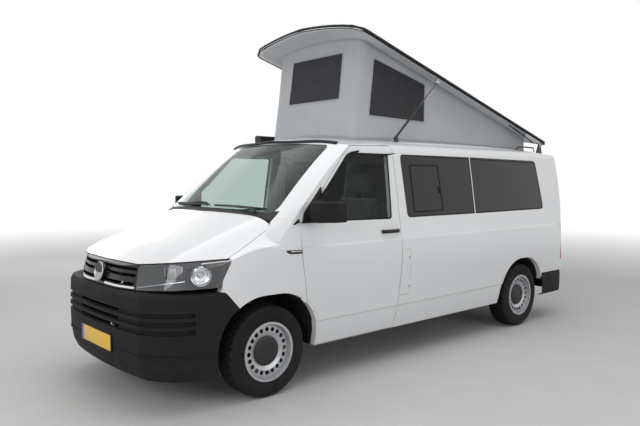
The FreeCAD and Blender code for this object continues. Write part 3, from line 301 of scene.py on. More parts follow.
WHITE_PAINT = Finish("white_paint", (0.70, 0.715, 0.73), 0.24, 0.03, 0.010, 1.5, coat=0.7,
                     coat_roughness=0.04, grain_scale=160.0, depth=0.012, dust=0.10, dust_top=0.5)
BUMPER = Finish("bumper_plastic", (0.0065, 0.0065, 0.007), 0.70, 0.08, 0.08, 4.0, grain=Grain.LEATHER,
                grain_scale=420.0, depth=0.16, ior=1.33, dust=0.04, dust_top=0.6)
UNDERBODY = Finish("underbody_coat", (0.010, 0.010, 0.011), 0.80, 0.12, 0.15, 6.0, grain=Grain.CAST,
                   grain_scale=60.0, depth=0.25, ior=1.3, dust=0.12)
TRIM = Finish("black_trim", (0.008, 0.008, 0.009), 0.55, 0.08, 0.05, 6.0, grain=Grain.LEATHER,
              grain_scale=500.0, depth=0.08, ior=1.38)
GLOSS_BLACK = Finish("gloss_black", (0.006, 0.006, 0.007), 0.32, 0.05, 0.03, 5.0, coat=0.10,
                     grain_scale=200.0, depth=0.01, ior=1.4)
RUBBER = Finish("seal_rubber", (0.006, 0.006, 0.006), 0.75, 0.08, 0.08, 9.0, grain_scale=600.0, depth=0.05,
                ior=1.33)
CHROME = Finish("chrome", (0.72, 0.73, 0.74), 0.10, 0.05, 0.02, 8.0, metallic=1.0, grain_scale=90.0,
                depth=0.01)
REFLECTOR = Finish("lamp_reflector", (0.80, 0.81, 0.82), 0.14, 0.05, 0.03, 9.0, metallic=1.0,
                   grain_scale=50.0, depth=0.03)
BADGE_METAL = Finish("badge_metal", (0.42, 0.43, 0.44), 0.38, 0.05, 0.03, 9.0, metallic=0.9,
                     grain_scale=200.0, depth=0.02)
LAMP_SATIN = Finish("lamp_satin", (0.22, 0.22, 0.23), 0.36, 0.05, 0.04, 9.0, metallic=0.8, grain_scale=120.0,
                    depth=0.03)
LAMP_GREY = Finish("lamp_bezel", (0.030, 0.031, 0.034), 0.34, 0.06, 0.05, 12.0, metallic=0.2,
                   grain_scale=300.0, depth=0.03)
CLEAR_LENS = Finish("clear_lens", (0.95, 0.97, 0.98), 0.02, 0.01, 0.0, 5.0, transmission=1.0, ior=1.38,
                    grain_scale=40.0, depth=0.004)
CAB_GLASS = Finish("cab_glass", (0.62, 0.71, 0.68), 0.015, 0.01, 0.01, 2.0, transmission=1.0, ior=1.2,
                   grain_scale=8.0, depth=0.004)
DARK_GLASS = Finish("privacy_glass", (0.006, 0.007, 0.008), 0.07, 0.02, 0.05, 2.0, transmission=0.25,
                    ior=1.40, coat=0.1, coat_roughness=0.02, grain_scale=6.0, depth=0.006)
TAIL_RED = Finish("tail_lamp_red", (0.42, 0.010, 0.012), 0.12, 0.03, 0.10, 20.0, coat=0.8, grain_scale=120.0,
                  depth=0.05)
TAIL_CLEAR = Finish("tail_lamp_clear", (0.62, 0.50, 0.48), 0.15, 0.04, 0.08, 20.0, coat=0.7,
                    grain_scale=140.0, depth=0.08)
AMBER = Finish("indicator_amber", (0.72, 0.23, 0.02), 0.16, 0.04, 0.05, 20.0, coat=0.6, grain_scale=140.0,
               depth=0.06)
CANVAS = Finish("tent_canvas", (0.40, 0.415, 0.43), 0.86, 0.06, 0.05, 3.0, sheen=0.25, grain=Grain.WEAVE,
                grain_scale=260.0, depth=0.12)
MESH_CLOTH = Finish("tent_mesh", (0.014, 0.014, 0.018), 0.85, 0.08, 0.15, 12.0, sheen=0.12,
                    grain=Grain.WEAVE, grain_scale=420.0, depth=0.35)
HEM = Finish("tent_hem", (0.33, 0.345, 0.36), 0.80, 0.06, 0.06, 8.0, sheen=0.3, grain=Grain.WEAVE,
             grain_scale=380.0, depth=0.2)
SHELL_OUTER = Finish("roof_shell_paint", (0.70, 0.715, 0.73), 0.26, 0.04, 0.012, 1.5, coat=0.6,
                     grain_scale=120.0, depth=0.012)
# grey of the shell's underside: a lining's colour, darkened also as painted shade of the underside
SHELL_LINER_AND_SHADE = Finish("roof_liner_and_shade", (0.50, 0.515, 0.53), 0.82, 0.06, 0.05, 3.0, sheen=0.2, grain=Grain.CAST,
                     grain_scale=240.0, depth=0.12)
STEEL_SILVER = Finish("wheel_silver", (0.46, 0.47, 0.49), 0.34, 0.06, 0.04, 9.0, metallic=0.55, coat=0.25,
                      grain_scale=300.0, depth=0.03, dust=0.10, dust_top=0.6)
TYRE = Finish("tyre_rubber", (0.005, 0.005, 0.0055), 0.80, 0.10, 0.12, 14.0, grain=Grain.CAST,
              grain_scale=220.0, depth=0.10, ior=1.33, dust=0.05, dust_top=0.75)
SATIN_BLACK = Finish("satin_black_steel", (0.009, 0.009, 0.010), 0.50, 0.08, 0.08, 8.0, grain_scale=260.0,
                     depth=0.05)
BARE_STEEL = Finish("polished_rod", (0.10, 0.10, 0.11), 0.34, 0.06, 0.04, 9.0, metallic=0.9,
                    grain=Grain.BRUSHED, grain_scale=300.0, depth=0.04)
CAST_IRON = Finish("cast_iron", (0.09, 0.088, 0.085), 0.62, 0.12, 0.15, 10.0, metallic=0.5, grain=Grain.CAST,
                   grain_scale=150.0, depth=0.3, dust=0.35)
EXHAUST_STEEL = Finish("exhaust_steel", (0.24, 0.22, 0.20), 0.48, 0.14, 0.2, 7.0, metallic=0.8,
                       grain=Grain.BRUSHED, grain_scale=120.0, depth=0.08, dust=0.4)
TANK = Finish("tank_plastic", (0.02, 0.02, 0.021), 0.55, 0.08, 0.08, 7.0, grain=Grain.LEATHER,
              grain_scale=160.0, depth=0.12, dust=0.4)
SEAT_CLOTH = Finish("seat_cloth", (0.055, 0.058, 0.065), 0.88, 0.06, 0.10, 10.0, sheen=0.35,
                    grain=Grain.WEAVE, grain_scale=330.0, depth=0.25)
SEAT_EDGE = Finish("seat_edge_cloth", (0.030, 0.031, 0.034), 0.80, 0.06, 0.08, 10.0, sheen=0.25,
                   grain=Grain.WEAVE, grain_scale=420.0, depth=0.2)
DASH = Finish("dashboard_plastic", (0.030, 0.031, 0.033), 0.60, 0.08, 0.06, 6.0, grain=Grain.LEATHER,
              grain_scale=380.0, depth=0.15)
BOARD = Finish("cupboard_board", (0.46, 0.45, 0.42), 0.45, 0.06, 0.08, 3.0, grain=Grain.BRUSHED,
               grain_scale=60.0, depth=0.06)
PLATE_YELLOW = Finish("plate_yellow", (0.86, 0.52, 0.02), 0.35, 0.05, 0.02, 5.0, coat=0.4, grain_scale=400.0,
                      depth=0.04)
PLATE_BLUE = Finish("plate_blue", (0.01, 0.06, 0.35), 0.35, 0.05, 0.02, 5.0, coat=0.4, grain_scale=400.0,
                    depth=0.04)
MIRROR = Finish("mirror_glass", (0.75, 0.78, 0.80), 0.03, 0.01, 0.01, 5.0, metallic=1.0, grain_scale=4.0,
                depth=0.002)
AWNING_CASE = Finish("awning_case", (0.014, 0.014, 0.015), 0.42, 0.06, 0.06, 4.0, metallic=0.3,
                     grain_scale=220.0, depth=0.03)

SLOT_FINISHES = {
    "body_paint": WHITE_PAINT, "bumper_plastic": BUMPER, "underbody": UNDERBODY,
    "grille_plastic": GLOSS_BLACK, "lamp_lens": CLEAR_LENS, "lamp_housing": LAMP_GREY, "tail_lens": TAIL_RED,
    "clear_glass": CAB_GLASS, "dark_glass": DARK_GLASS, "trim_plastic": TRIM, "seat_fabric": SEAT_CLOTH,
    "cupboard_board": BOARD, "awning_case": AWNING_CASE, "black_steel": SATIN_BLACK, "canvas": CANVAS,
    "cast_metal": CAST_IRON, "exhaust_steel": EXHAUST_STEEL, "tank_plastic": TANK, "tyre_rubber": TYRE,
    "wheel_steel": STEEL_SILVER, "shell_plastic": SHELL_OUTER, "rod_steel": BARE_STEEL,
}


def placed(name: str, data: bpy.types.ID) -> bpy.types.Object:
    """Return a new object of the scene that carries some data."""
    made = bpy.data.objects.new(name, data)
    bpy.context.scene.collection.objects.link(made)
    return made


def settle(item: bpy.types.Object) -> None:
    """Turn an object's modifiers into its mesh."""
    graph = bpy.context.evaluated_depsgraph_get()
    done = bpy.data.meshes.new_from_object(item.evaluated_get(graph))
    item.modifiers.clear()
    item.data = done


class Shape:
    """A mesh in the making, with the few operations that this vehicle's pieces need."""

    WELD = 2e-5

    def __init__(self, mesh: bmesh.types.BMesh | None = None) -> None:
        """Start with a given mesh, or with no geometry."""
        self.mesh = bmesh.new() if mesh is None else mesh

    def data(self, name: str) -> bpy.types.Mesh:
        """Return the geometry as mesh data and let go of the working mesh."""
        made = bpy.data.meshes.new(name)
        self.mesh.to_mesh(made)
        self.mesh.free()
        return made

    def block(self, low: Vector, high: Vector, bevel: float = 0.0,
              segments: int = 2) -> list[bmesh.types.BMVert]:
        """Add a box between two corners with rounded edges.

        Args:
            low: the lowest corner.
            high: the highest corner.
            bevel: the width of the rounding.
            segments: the steps of the rounding.

        Returns:
            The new vertices.
        """
        size = high - low
        place = Matrix.Translation((low + high) / 2) @ Matrix.Diagonal((*size, 1.0))
        made = bmesh.ops.create_cube(self.mesh, size=1.0, matrix=place)["verts"]
        if bevel:
            edges = {edge for vert in made for edge in vert.link_edges}
            made = self.round_edges(edges, bevel, segments)
        return made

    def round_edges(self, edges: Iterable[bmesh.types.BMEdge], width: float, segments: int = 2
                    ) -> list[bmesh.types.BMVert]:
        """Bevel some edges and return the vertices of the bevel."""
        done = bmesh.ops.bevel(self.mesh, geom=list(edges), offset=width, segments=segments, affect="EDGES",
                               profile=0.5, material=-1)
        return done["verts"]

    def rod(self, start: Vector, end: Vector, radius: float, tip: float | None = None,
            segments: int = 20) -> None:
        """Add a closed rod between two points.

        Args:
            start: the middle of its first end.
            end: the middle of its other end.
            radius: its radius at the start.
            tip: its radius at the end, the same if not given.
            segments: the number of its sides.
        """
        along = end - start
        turn = UP.rotation_difference(along.normalized()).to_matrix().to_4x4()
        place = Matrix.Translation((start + end) / 2) @ turn
        bmesh.ops.create_cone(self.mesh, cap_ends=True, segments=segments, radius1=radius,
                              radius2=radius if tip is None else tip, depth=along.length, matrix=place)

    def ball(self, centre: Vector, radius: float, segments: int = 16) -> None:
        """Add a sphere."""
        bmesh.ops.create_uvsphere(self.mesh, u_segments=segments, v_segments=segments // 2, radius=radius,
                                  matrix=Matrix.Translation(centre))

    def outline(self, points: Sequence[Vector]) -> bmesh.types.BMFace:
        """Add one flat face through points."""
        return self.mesh.faces.new([self.mesh.verts.new(point) for point in points])

    def slab(self, points: Sequence[Vector], depth: Vector, bevel: float = 0.0, segments: int = 2) -> None:
        """Add a flat outline pushed along a vector, with rounded edges.

        Args:
            points: the outline's corners.
            depth: how far and which way it is pushed.
            bevel: the width of the rounding.
            segments: the steps of the rounding.
        """
        face = self.outline(points)
        grown = bmesh.ops.extrude_face_region(self.mesh, geom=[face])["geom"]
        fresh = [item for item in grown if isinstance(item, bmesh.types.BMVert)]
        bmesh.ops.translate(self.mesh, verts=fresh, vec=depth)
        if bevel:
            edges = {edge for vert in fresh for edge in vert.link_edges} | set(face.edges)
            self.round_edges(edges, bevel, segments)

    def turned(self, profile: Sequence[Pair], centre: Vector, axis: Vector, start: Vector,
               steps: int = 48) -> None:
        """Spin a profile once round an axis.

        Args:
            profile: pairs of a distance along the axis and a radius.
            centre: the point of the axis that distances are counted from.
            axis: the axis to spin round.
            start: the direction of the radius of the first copy.
            steps: the number of copies.
        """
        ring = [self.mesh.verts.new(centre + axis * reach + start * radius) for reach, radius in profile]
        edges = [self.mesh.edges.new(pair) for pair in zip(ring, ring[1:])]
        bmesh.ops.spin(self.mesh, geom=ring + edges, cent=centre, axis=axis, angle=math.tau, steps=steps,
                       use_merge=True)

    def tube(self, path: Sequence[Vector], radius: float, segments: int = 8, closed: bool = False,
             flat: float = 1.0) -> None:
        """Add a round tube that follows a path.

        Args:
            path: the points of its middle line.
            radius: its radius.
            segments: the number of its sides.
            closed: whether its end joins its start.
            flat: the share of the radius that it has across its width.
        """
        rings = []
        count = len(path)
        for index, point in enumerate(path):
            before = path[index - 1] if index or closed else point
            after = path[(index + 1) % count] if index < count - 1 or closed else point
            turn = (after - before).to_track_quat("Z", "Y").to_matrix().to_4x4()
            place = Matrix.Translation(point) @ turn @ Matrix.Diagonal((flat, 1.0, 1.0, 1.0))
            cap = not closed and index in (0, count - 1)
            made = bmesh.ops.create_circle(self.mesh, cap_ends=cap, segments=segments, radius=radius,
                                           matrix=place)
            rings.append({edge for vert in made["verts"] for edge in vert.link_edges})
        pairs = list(zip(rings, rings[1:])) + ([(rings[-1], rings[0])] if closed else [])
        for first, second in pairs:
            bmesh.ops.bridge_loops(self.mesh, edges=list(first) + list(second))

    def piece(self, name: str, finish: Finish, slot: str = "trim_plastic", body: str = "chassis",
              angle: float = 38.0) -> bpy.types.Object:
        """Finish the mesh as one object that rides on a body.

        Args:
            name: the piece's name.
            finish: its finish.
            slot: the record's material slot; not used.
            body: the CAD body that carries it.
            angle: edges sharper than this many degrees stay sharp.

        Returns:
            The new object.
        """
        bmesh.ops.remove_doubles(self.mesh, verts=self.mesh.verts, dist=self.WELD)
        bmesh.ops.recalc_face_normals(self.mesh, faces=self.mesh.faces)
        for face in self.mesh.faces:
            face.smooth = True
        for edge in self.mesh.edges:
            if len(edge.link_faces) == 2 and edge.calc_face_angle(0.0) > math.radians(angle):
                edge.smooth = False
        made = placed(name, self.data(name))
        made.data.materials.append(finish.material())
        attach(made, body)
        log.info("piece %s with %d faces on %s", name, len(made.data.polygons), body)
        return made


class Skin:
    """Surfaces that pieces are set on by looking along an axis.

    Each pair of numbers says where a look starts and what it gives when it meets nothing, in millimetres.
    """

    SIDE = (1400.0, 940.0)
    FRONT = (-500.0, 60.0)
    REAR = (5900.0, 5250.0)
    TOP = (3400.0, 1980.0)
    UNDER = (1700.0, 2100.0)

    def __init__(self, objects: Sequence[bpy.types.Object]) -> None:
        """Gather the surface of some objects.

        Args:
            objects: the objects whose surface counts.
        """
        self.trees = []
        for item in objects:
            data = item.data
            corners = [vert.co.copy() for vert in data.vertices]
            faces = [tuple(face.vertices) for face in data.polygons]
            self.trees.append(BVHTree.FromPolygons(corners, faces))

    def hit(self, start: Vector, direction: Vector, fallback: Vector) -> Vector:
        """Return the first point that a look from start meets."""
        best = None
        for tree in self.trees:
            spot, normal, index, distance = tree.ray_cast(start, direction)
            if spot is not None and (best is None or distance < best[1]):
                best = (spot, distance)
        return best[0] if best else fallback

    def side(self, side: int, station: float, z: float) -> Vector:
        """Return the point of one side at a station and a height."""
        start, other = (at(side * x, station, z) for x in self.SIDE)
        return self.hit(start, Vector((-side, 0, 0)), other)

    def front(self, x: float, z: float) -> Vector:
        """Return the point of the nose at a width and a height."""
        start, other = (at(x, station, z) for station in self.FRONT)
        return self.hit(start, Vector((0, 1, 0)), other)

    def rear(self, x: float, z: float) -> Vector:
        """Return the point of the tail at a width and a height."""
        start, other = (at(x, station, z) for station in self.REAR)
        return self.hit(start, Vector((0, -1, 0)), other)

    def top(self, x: float, station: float) -> Vector:
        """Return the highest point at a width and a station."""
        start, other = (at(x, station, z) for z in self.TOP)
        return self.hit(start, Vector((0, 0, -1)), other)

    def under(self, x: float, station: float) -> Vector:
        """Return the first point above the fixed roof at a width and a station."""
        start, other = (at(x, station, z) for z in self.UNDER)
        return self.hit(start, UP, other)


BODY_NODES = ("side_panel_left", "side_panel_right", "front_door_left", "front_door_right", "roof_panel",
              "front_wings", "bonnet", "scuttle", "windscreen", "side_windows", "sliding_door", "tailgate",
              "tailgate_glass", "front_bumper", "rear_bumper", "grille", "headlamps", "tail_lamps",
              "door_glass_left", "door_glass_right")
skin = Skin([frame["nodes"][name] for name in BODY_NODES])


def rounded(corners: Sequence[Pair], radius: float, steps: int = 5) -> list[Pair]:
    """Return an outline whose corners are rounded with arcs.

    Args:
        corners: the sharp outline.
        radius: the radius of its corners.
        steps: the steps of each arc.

    Returns:
        The points of the rounded outline.
    """
    done = []
    count = len(corners)
    for index, corner in enumerate(corners):
        here = Vector(corner)
        before = (Vector(corners[index - 1]) - here).normalized()
        after = (Vector(corners[(index + 1) % count]) - here).normalized()
        half = before.angle(after) / 2
        reach = radius / math.tan(half)
        centre = here + (before + after).normalized() * (radius / math.sin(half))
        first = here + before * reach - centre
        last = here + after * reach - centre
        sweep = first.angle_signed(last)
        for step in range(steps + 1):
            turn = -sweep * step / steps
            done.append(tuple(centre + Matrix.Rotation(turn, 2) @ first))
    return done


def box(left: float, right: float, low: float, high: float) -> tuple[Pair, ...]:
    """Return the four corners of an upright rectangle."""
    return (left, low), (right, low), (right, high), (left, high)


def bisect(mesh: bmesh.types.BMesh, spot: Sequence[float], normal: Sequence[float], dist: float = 0.0,
           clear_inner: bool = False) -> list[bmesh.types.BMEdge]:
    """Cut a mesh along a plane.

    Args:
        mesh: the mesh to cut.
        spot: a point of the plane.
        normal: the plane's normal.
        dist: how near a vertex has to be to count as on the plane.
        clear_inner: whether what lies behind the plane is deleted.

    Returns:
        The edges of the cut.
    """
    done = bmesh.ops.bisect_plane(mesh, geom=mesh.verts[:] + mesh.edges[:] + mesh.faces[:], dist=dist,
                                  plane_co=spot, plane_no=normal, clear_inner=clear_inner)
    return [item for item in done["geom_cut"] if isinstance(item, bmesh.types.BMEdge)]


def cover(shape: Shape, outline: Sequence[Pair], look: Look, lift: Vector, thickness: float,
          rim: float | None = None, step: float = 60.0) -> None:
    """Lay a thin plate, or a ring if rim is given, on a curved surface.

    Args:
        shape: the mesh that receives the plate.
        outline: the plate's outline in the two coordinates that look takes.
        look: gives the surface's point for those two coordinates.
        lift: how far the plate's outer face stands off the surface.
        thickness: the plate's thickness.
        rim: the width of the ring, for a plate with an open middle.
        step: the length that longer edges are divided to.
    """
    work = bmesh.new()
    face = work.faces.new([work.verts.new((a, b, 0.0)) for a, b in outline])
    work.normal_update()
    if rim:
        done = bmesh.ops.inset_region(work, faces=[face], thickness=rim, use_even_offset=True,
                                      use_boundary=True)
        band = set(done["faces"])
        bmesh.ops.delete(work, geom=[item for item in work.faces if item not in band], context="FACES")
    else:
        spans = []
        for axis in (0, 1):
            places = [vert.co[axis] for vert in work.verts]
            spans.append((min(places), max(places) - min(places)))
        for axis, (low, span) in enumerate(spans):
            count = max(2, math.ceil(span / step))
            for cut in range(1, count):
                spot, normal = Vector((0, 0, 0)), Vector((0, 0, 0))
                spot[axis] = low + span * cut / count
                normal[axis] = 1.0
                bisect(work, spot, normal)
    long_edges = [edge for edge in work.edges if edge.calc_length() > step]
    if long_edges:
        cuts = int(max(edge.calc_length() for edge in long_edges) // step)
        bmesh.ops.subdivide_edges(work, edges=long_edges, cuts=cuts, use_grid_fill=False)
    for vert in work.verts:
        vert.co = look(vert.co.x, vert.co.y) + lift
    bmesh.ops.remove_doubles(work, verts=work.verts, dist=1e-5)
    bmesh.ops.triangulate(work, faces=[item for item in work.faces if len(item.verts) > 4])
    bmesh.ops.recalc_face_normals(work, faces=work.faces)
    if sum(item.normal.dot(lift) for item in work.faces) < 0:
        bmesh.ops.reverse_faces(work, faces=work.faces)
    bmesh.ops.solidify(work, geom=work.faces[:], thickness=thickness)
    data = Shape(work).data("plate_work")
    shape.mesh.from_mesh(data)
    bpy.data.meshes.remove(data)


def lay(name: str, finish: Finish, outline: Sequence[Pair], look: Look, lift: Vector, thickness: float,
        slot: str = "trim_plastic", body: str = "chassis", rim: float | None = None, step: float = 60.0,
        angle: float = 35.0) -> bpy.types.Object:
    """Lay a thin plate or a ring on a surface as a piece of its own.

    Args:
        name: the piece's name.
        finish: its finish.
        outline: its outline in the two coordinates that look takes.
        look: gives the surface's point for those two coordinates.
        lift: how far its outer face stands off the surface.
        thickness: its thickness.
        slot: the record's material slot.
        body: the CAD body that carries it.
        rim: the width of the ring, for a piece with an open middle.
        step: the length that longer edges are divided to.
        angle: edges sharper than this many degrees stay sharp.

    Returns:
        The new object.
    """
    shape = Shape()
    cover(shape, outline, look, lift, thickness, rim, step)
    return shape.piece(name, finish, slot=slot, body=body, angle=angle)


def raised(x: float, station: float, z: float) -> Vector:
    """Return a point of the closed pop-up roof, turned to the raised pose."""
    hinge = next(joint for joint in frame["joints"] if joint["name"] == "roof_hinge")
    centre = Vector(hinge["pos_m"])
    turn = Matrix.Rotation(math.radians(min(hinge["range_deg"])), 3, "X")
    return centre + turn @ (at(x, station, z) - centre)


def mirrored(points: Iterable[Vector], side: int) -> list[Vector]:
    """Return points of the left side, moved to the given side."""
    return [Vector((point.x * side, point.y, point.z)) for point in points]


@dataclass
class Studio:
    """The camera, the lamps, the floor and the backdrop."""

    eye: tuple[float, float, float] = (4.487, -4.453, 1.591)
    yaw: float = 138.2
    pitch: float = -3.17
    roll: float = 0.16
    lens: float = 35.24
    fill: float = 0.46
    aim: tuple[float, float, float] = (0.0, 0.2, 1.0)
    floor_radius: float = 40.0
    floor_fade: Pair = (5.5, 15.0)
    lamps: tuple[tuple[str, Colour, Pair, float], ...] = (
        ("overhead", (0.4, -0.6, 5.4), (7.5, 4.2), 140.0),
        ("front_key", (2.6, -7.2, 3.4), (4.0, 2.6), 118.0),
        ("side_fill", (8.2, 0.8, 2.6), (6.0, 2.6), 84.0),
        ("far_side", (-7.5, 1.0, 3.2), (5.0, 2.6), 72.0))

    def build(self) -> None:
        """Set up everything round the vehicle."""
        self.place_camera()
        self.lay_floor()
        self.light()

    def place_camera(self) -> None:
        """Put the camera where the photograph was taken from."""
        data = bpy.data.cameras.new("photo_camera")
        data.sensor_width = 36.0
        data.lens = self.lens
        data.clip_end = 200.0
        camera = placed("photo_camera", data)
        yaw, pitch = math.radians(self.yaw), math.radians(self.pitch)
        look = Vector((math.cos(pitch) * math.cos(yaw), math.cos(pitch) * math.sin(yaw), math.sin(pitch)))
        camera.location = self.eye
        camera.rotation_mode = "QUATERNION"
        roll = Quaternion((0, 0, 1), math.radians(self.roll))
        camera.rotation_quaternion = look.to_track_quat("-Z", "Y") @ roll
        bpy.context.scene.camera = camera

    def lay_floor(self) -> None:
        """Lay a pale floor that fades into the white backdrop."""
        disc = Shape()
        bmesh.ops.create_circle(disc.mesh, cap_ends=True, segments=96, radius=self.floor_radius)
        floor = placed("studio_floor", disc.data("studio_floor"))
        made = bpy.data.materials.new("studio_floor")
        made.use_nodes = True
        made.node_tree.nodes.clear()
        kit = NodeKit(made.node_tree)
        place = kit.add("TexCoord").outputs["Object"]
        specks = kit.add("TexNoise", {"Vector": place, "Scale": 3.0, "Detail": 5.0}).outputs["Fac"]
        tone = kit.add("MapRange", {"Value": specks, "To Min": 0.56, "To Max": 0.62}).outputs[0]
        color = kit.add("CombineColor", {0: tone, 1: tone, 2: tone}).outputs[0]
        plain = kit.add("BsdfPrincipled", {"Base Color": color, "Roughness": 0.7, "Specular IOR Level": 0.2})
        white = kit.add("Emission", {"Color": (1.0, 1.0, 1.0, 1.0), "Strength": 1.0})
        reach = kit.add("VectorMath", {0: place}, operation="LENGTH").outputs["Value"]
        near, far = self.floor_fade
        fade = kit.add("MapRange", {"Value": reach, "From Min": near, "From Max": far}).outputs[0]
        mixed = kit.add("MixShader", {0: fade, 1: plain.outputs[0], 2: white.outputs[0]})
        kit.add("OutputMaterial", {"Surface": mixed.outputs[0]})
        floor.data.materials.append(made)

    def light(self) -> None:
        """Make the backdrop white and hang the soft lamps."""
        world = bpy.data.worlds.new("studio")
        bpy.context.scene.world = world
        world.use_nodes = True
        world.node_tree.nodes.clear()
        kit = NodeKit(world.node_tree)
        path = kit.add("LightPath").outputs
        seen = kit.math("MAXIMUM", path["Is Camera Ray"], path["Is Glossy Ray"])
        seen = kit.math("MAXIMUM", seen, path["Is Transmission Ray"])
        glow = kit.add("Background", {"Color": (1.0, 1.0, 1.0, 1.0), "Strength": self.fill})
        back = kit.add("Background", {"Color": (1.0, 1.0, 1.0, 1.0), "Strength": 1.0})
        mixed = kit.add("MixShader", {0: seen, 1: glow.outputs[0], 2: back.outputs[0]})
        kit.add("OutputWorld", {"Surface": mixed.outputs[0]})
        for name, place, size, power in self.lamps:
            data = bpy.data.lights.new(name, "AREA")
            data.shape = "RECTANGLE"
            data.size, data.size_y = size
            data.energy = power
            lamp = placed(name, data)
            lamp.location = place
            look = Vector(self.aim) - Vector(place)
            lamp.rotation_euler = look.to_track_quat("-Z", "Y").to_euler()


def dress_frame() -> None:
    """Give every CAD node the finish of its material slot."""
    for name, node in frame["nodes"].items():
        for place in node.material_slots:
            finish = SLOT_FINISHES[place.material.name.split(".")[0]]
            place.material = finish.material()
        log.info("dressed %s", name)


@dataclass
class RoadWheel:
    """One wheel's tyre with its tread, the hub's cap and the valve."""

    axle: str
    side: str
    sign: int
    station: float
    steps: int = 144
    tyre_profile: tuple[Pair, ...] = (
        (-80, 211), (-91.5, 205), (-91.5, 218.5), (-96, 224), (-97.5, 229), (-96.8, 231), (-100.5, 244),
        (-102.3, 258), (-102.3, 272), (-100.8, 288), (-98.6, 296), (-98.9, 299), (-97, 308), (-93.5, 317),
        (-89, 325), (-84, 330), (-60, 333.4), (-54, 333.8), (-53, 326.5), (-45, 326.5), (-44, 334.6),
        (-22, 335.8), (-20.6, 335.8), (-19.6, 328), (-10.4, 328), (-9.4, 336.1), (-8, 336.3))
    inner_profile: tuple[Pair, ...] = ((74, 218), (0, 222), (-74, 218), (-80, 211))
    cap_profile: tuple[Pair, ...] = (
        (57, 107), (64, 107.5), (68, 104), (70.6, 96), (71.8, 78), (71.6, 60), (70.0, 58.5), (70.0, 55),
        (71.8, 53), (72.6, 20), (72.7, 0))
    tread_radius: float = 0.3265
    shoulder: float = 0.056
    side_rib: Pair = (0.0235, 0.044)
    middle_rib: float = 0.008
    cut_depth: float = 0.006
    valve_reach: float = 0.0715
    valve_drop: float = 0.150

    def build(self) -> None:
        """Build the wheel's pieces."""
        body = f"wheel_{self.axle}_{self.side}"
        centre = at(self.sign * TRACK_HALF, self.station, HUB_HEIGHT)
        axis = Vector((self.sign, 0, 0))
        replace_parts(self.tyre(centre, axis, body), f"tyre_{self.axle}_{self.side}")
        cap = Shape()
        cap.turned([(reach * MM, radius * MM) for reach, radius in self.cap_profile], centre, axis, UP, 64)
        cap.piece(body + "_cap", SATIN_BLACK, body=body, angle=30.0)
        valve = Shape()
        foot = centre + axis * self.valve_reach + Vector((0, 0, -self.valve_drop))
        neck = foot + axis * 0.018 + Vector((0, 0, -0.004))
        valve.rod(foot, neck, 0.0052, 0.0038, 12)
        valve.rod(neck, foot + axis * 0.027 + Vector((0, 0, -0.006)), 0.0046, 0.0046, 12)
        valve.piece(body + "_valve", RUBBER, "tyre_rubber", body=body)

    def tyre(self, centre: Vector, axis: Vector, body: str) -> bpy.types.Object:
        """Return the tyre, with its grooves and its cut ribs.

        Args:
            centre: the wheel's middle.
            axis: the axle's outward direction.
            body: the body that it rides on.

        Returns:
            The tyre's object.
        """
        half = list(self.tyre_profile)
        rest = [(-reach, radius) for reach, radius in reversed(half)][:-1]
        profile = [(reach * MM, radius * MM) for reach, radius in half + rest + list(self.inner_profile)]
        shape = Shape()
        shape.turned(profile, centre, axis, UP, self.steps)
        bmesh.ops.remove_doubles(shape.mesh, verts=shape.mesh.verts, dist=1e-5)
        ribs = [face for face in shape.mesh.faces if self.cut_here(face.calc_center_median() - centre)]
        grown = bmesh.ops.extrude_face_region(shape.mesh, geom=ribs)["geom"]
        for vert in grown:
            if isinstance(vert, bmesh.types.BMVert):
                spoke = Vector((0, vert.co.y - centre.y, vert.co.z - centre.z)).normalized()
                vert.co -= spoke * self.cut_depth
        return shape.piece(body + "_tyre", TYRE, "tyre_rubber", body=body, angle=28.0)

    def cut_here(self, spot: Vector) -> bool:
        """Return whether a tread face lies in one of the cuts across the ribs."""
        reach, radius = abs(spot.x), math.hypot(spot.y, spot.z)
        turn = int(math.atan2(spot.y, spot.z) / math.tau * self.steps + 2 * self.steps + 0.5)
        if radius < self.tread_radius:
            return False
        if reach > self.shoulder:
            return turn % 4 == 0
        if self.side_rib[0] < reach < self.side_rib[1]:
            return turn % 4 == 2
        return reach < self.middle_rib and turn % 8 == 0


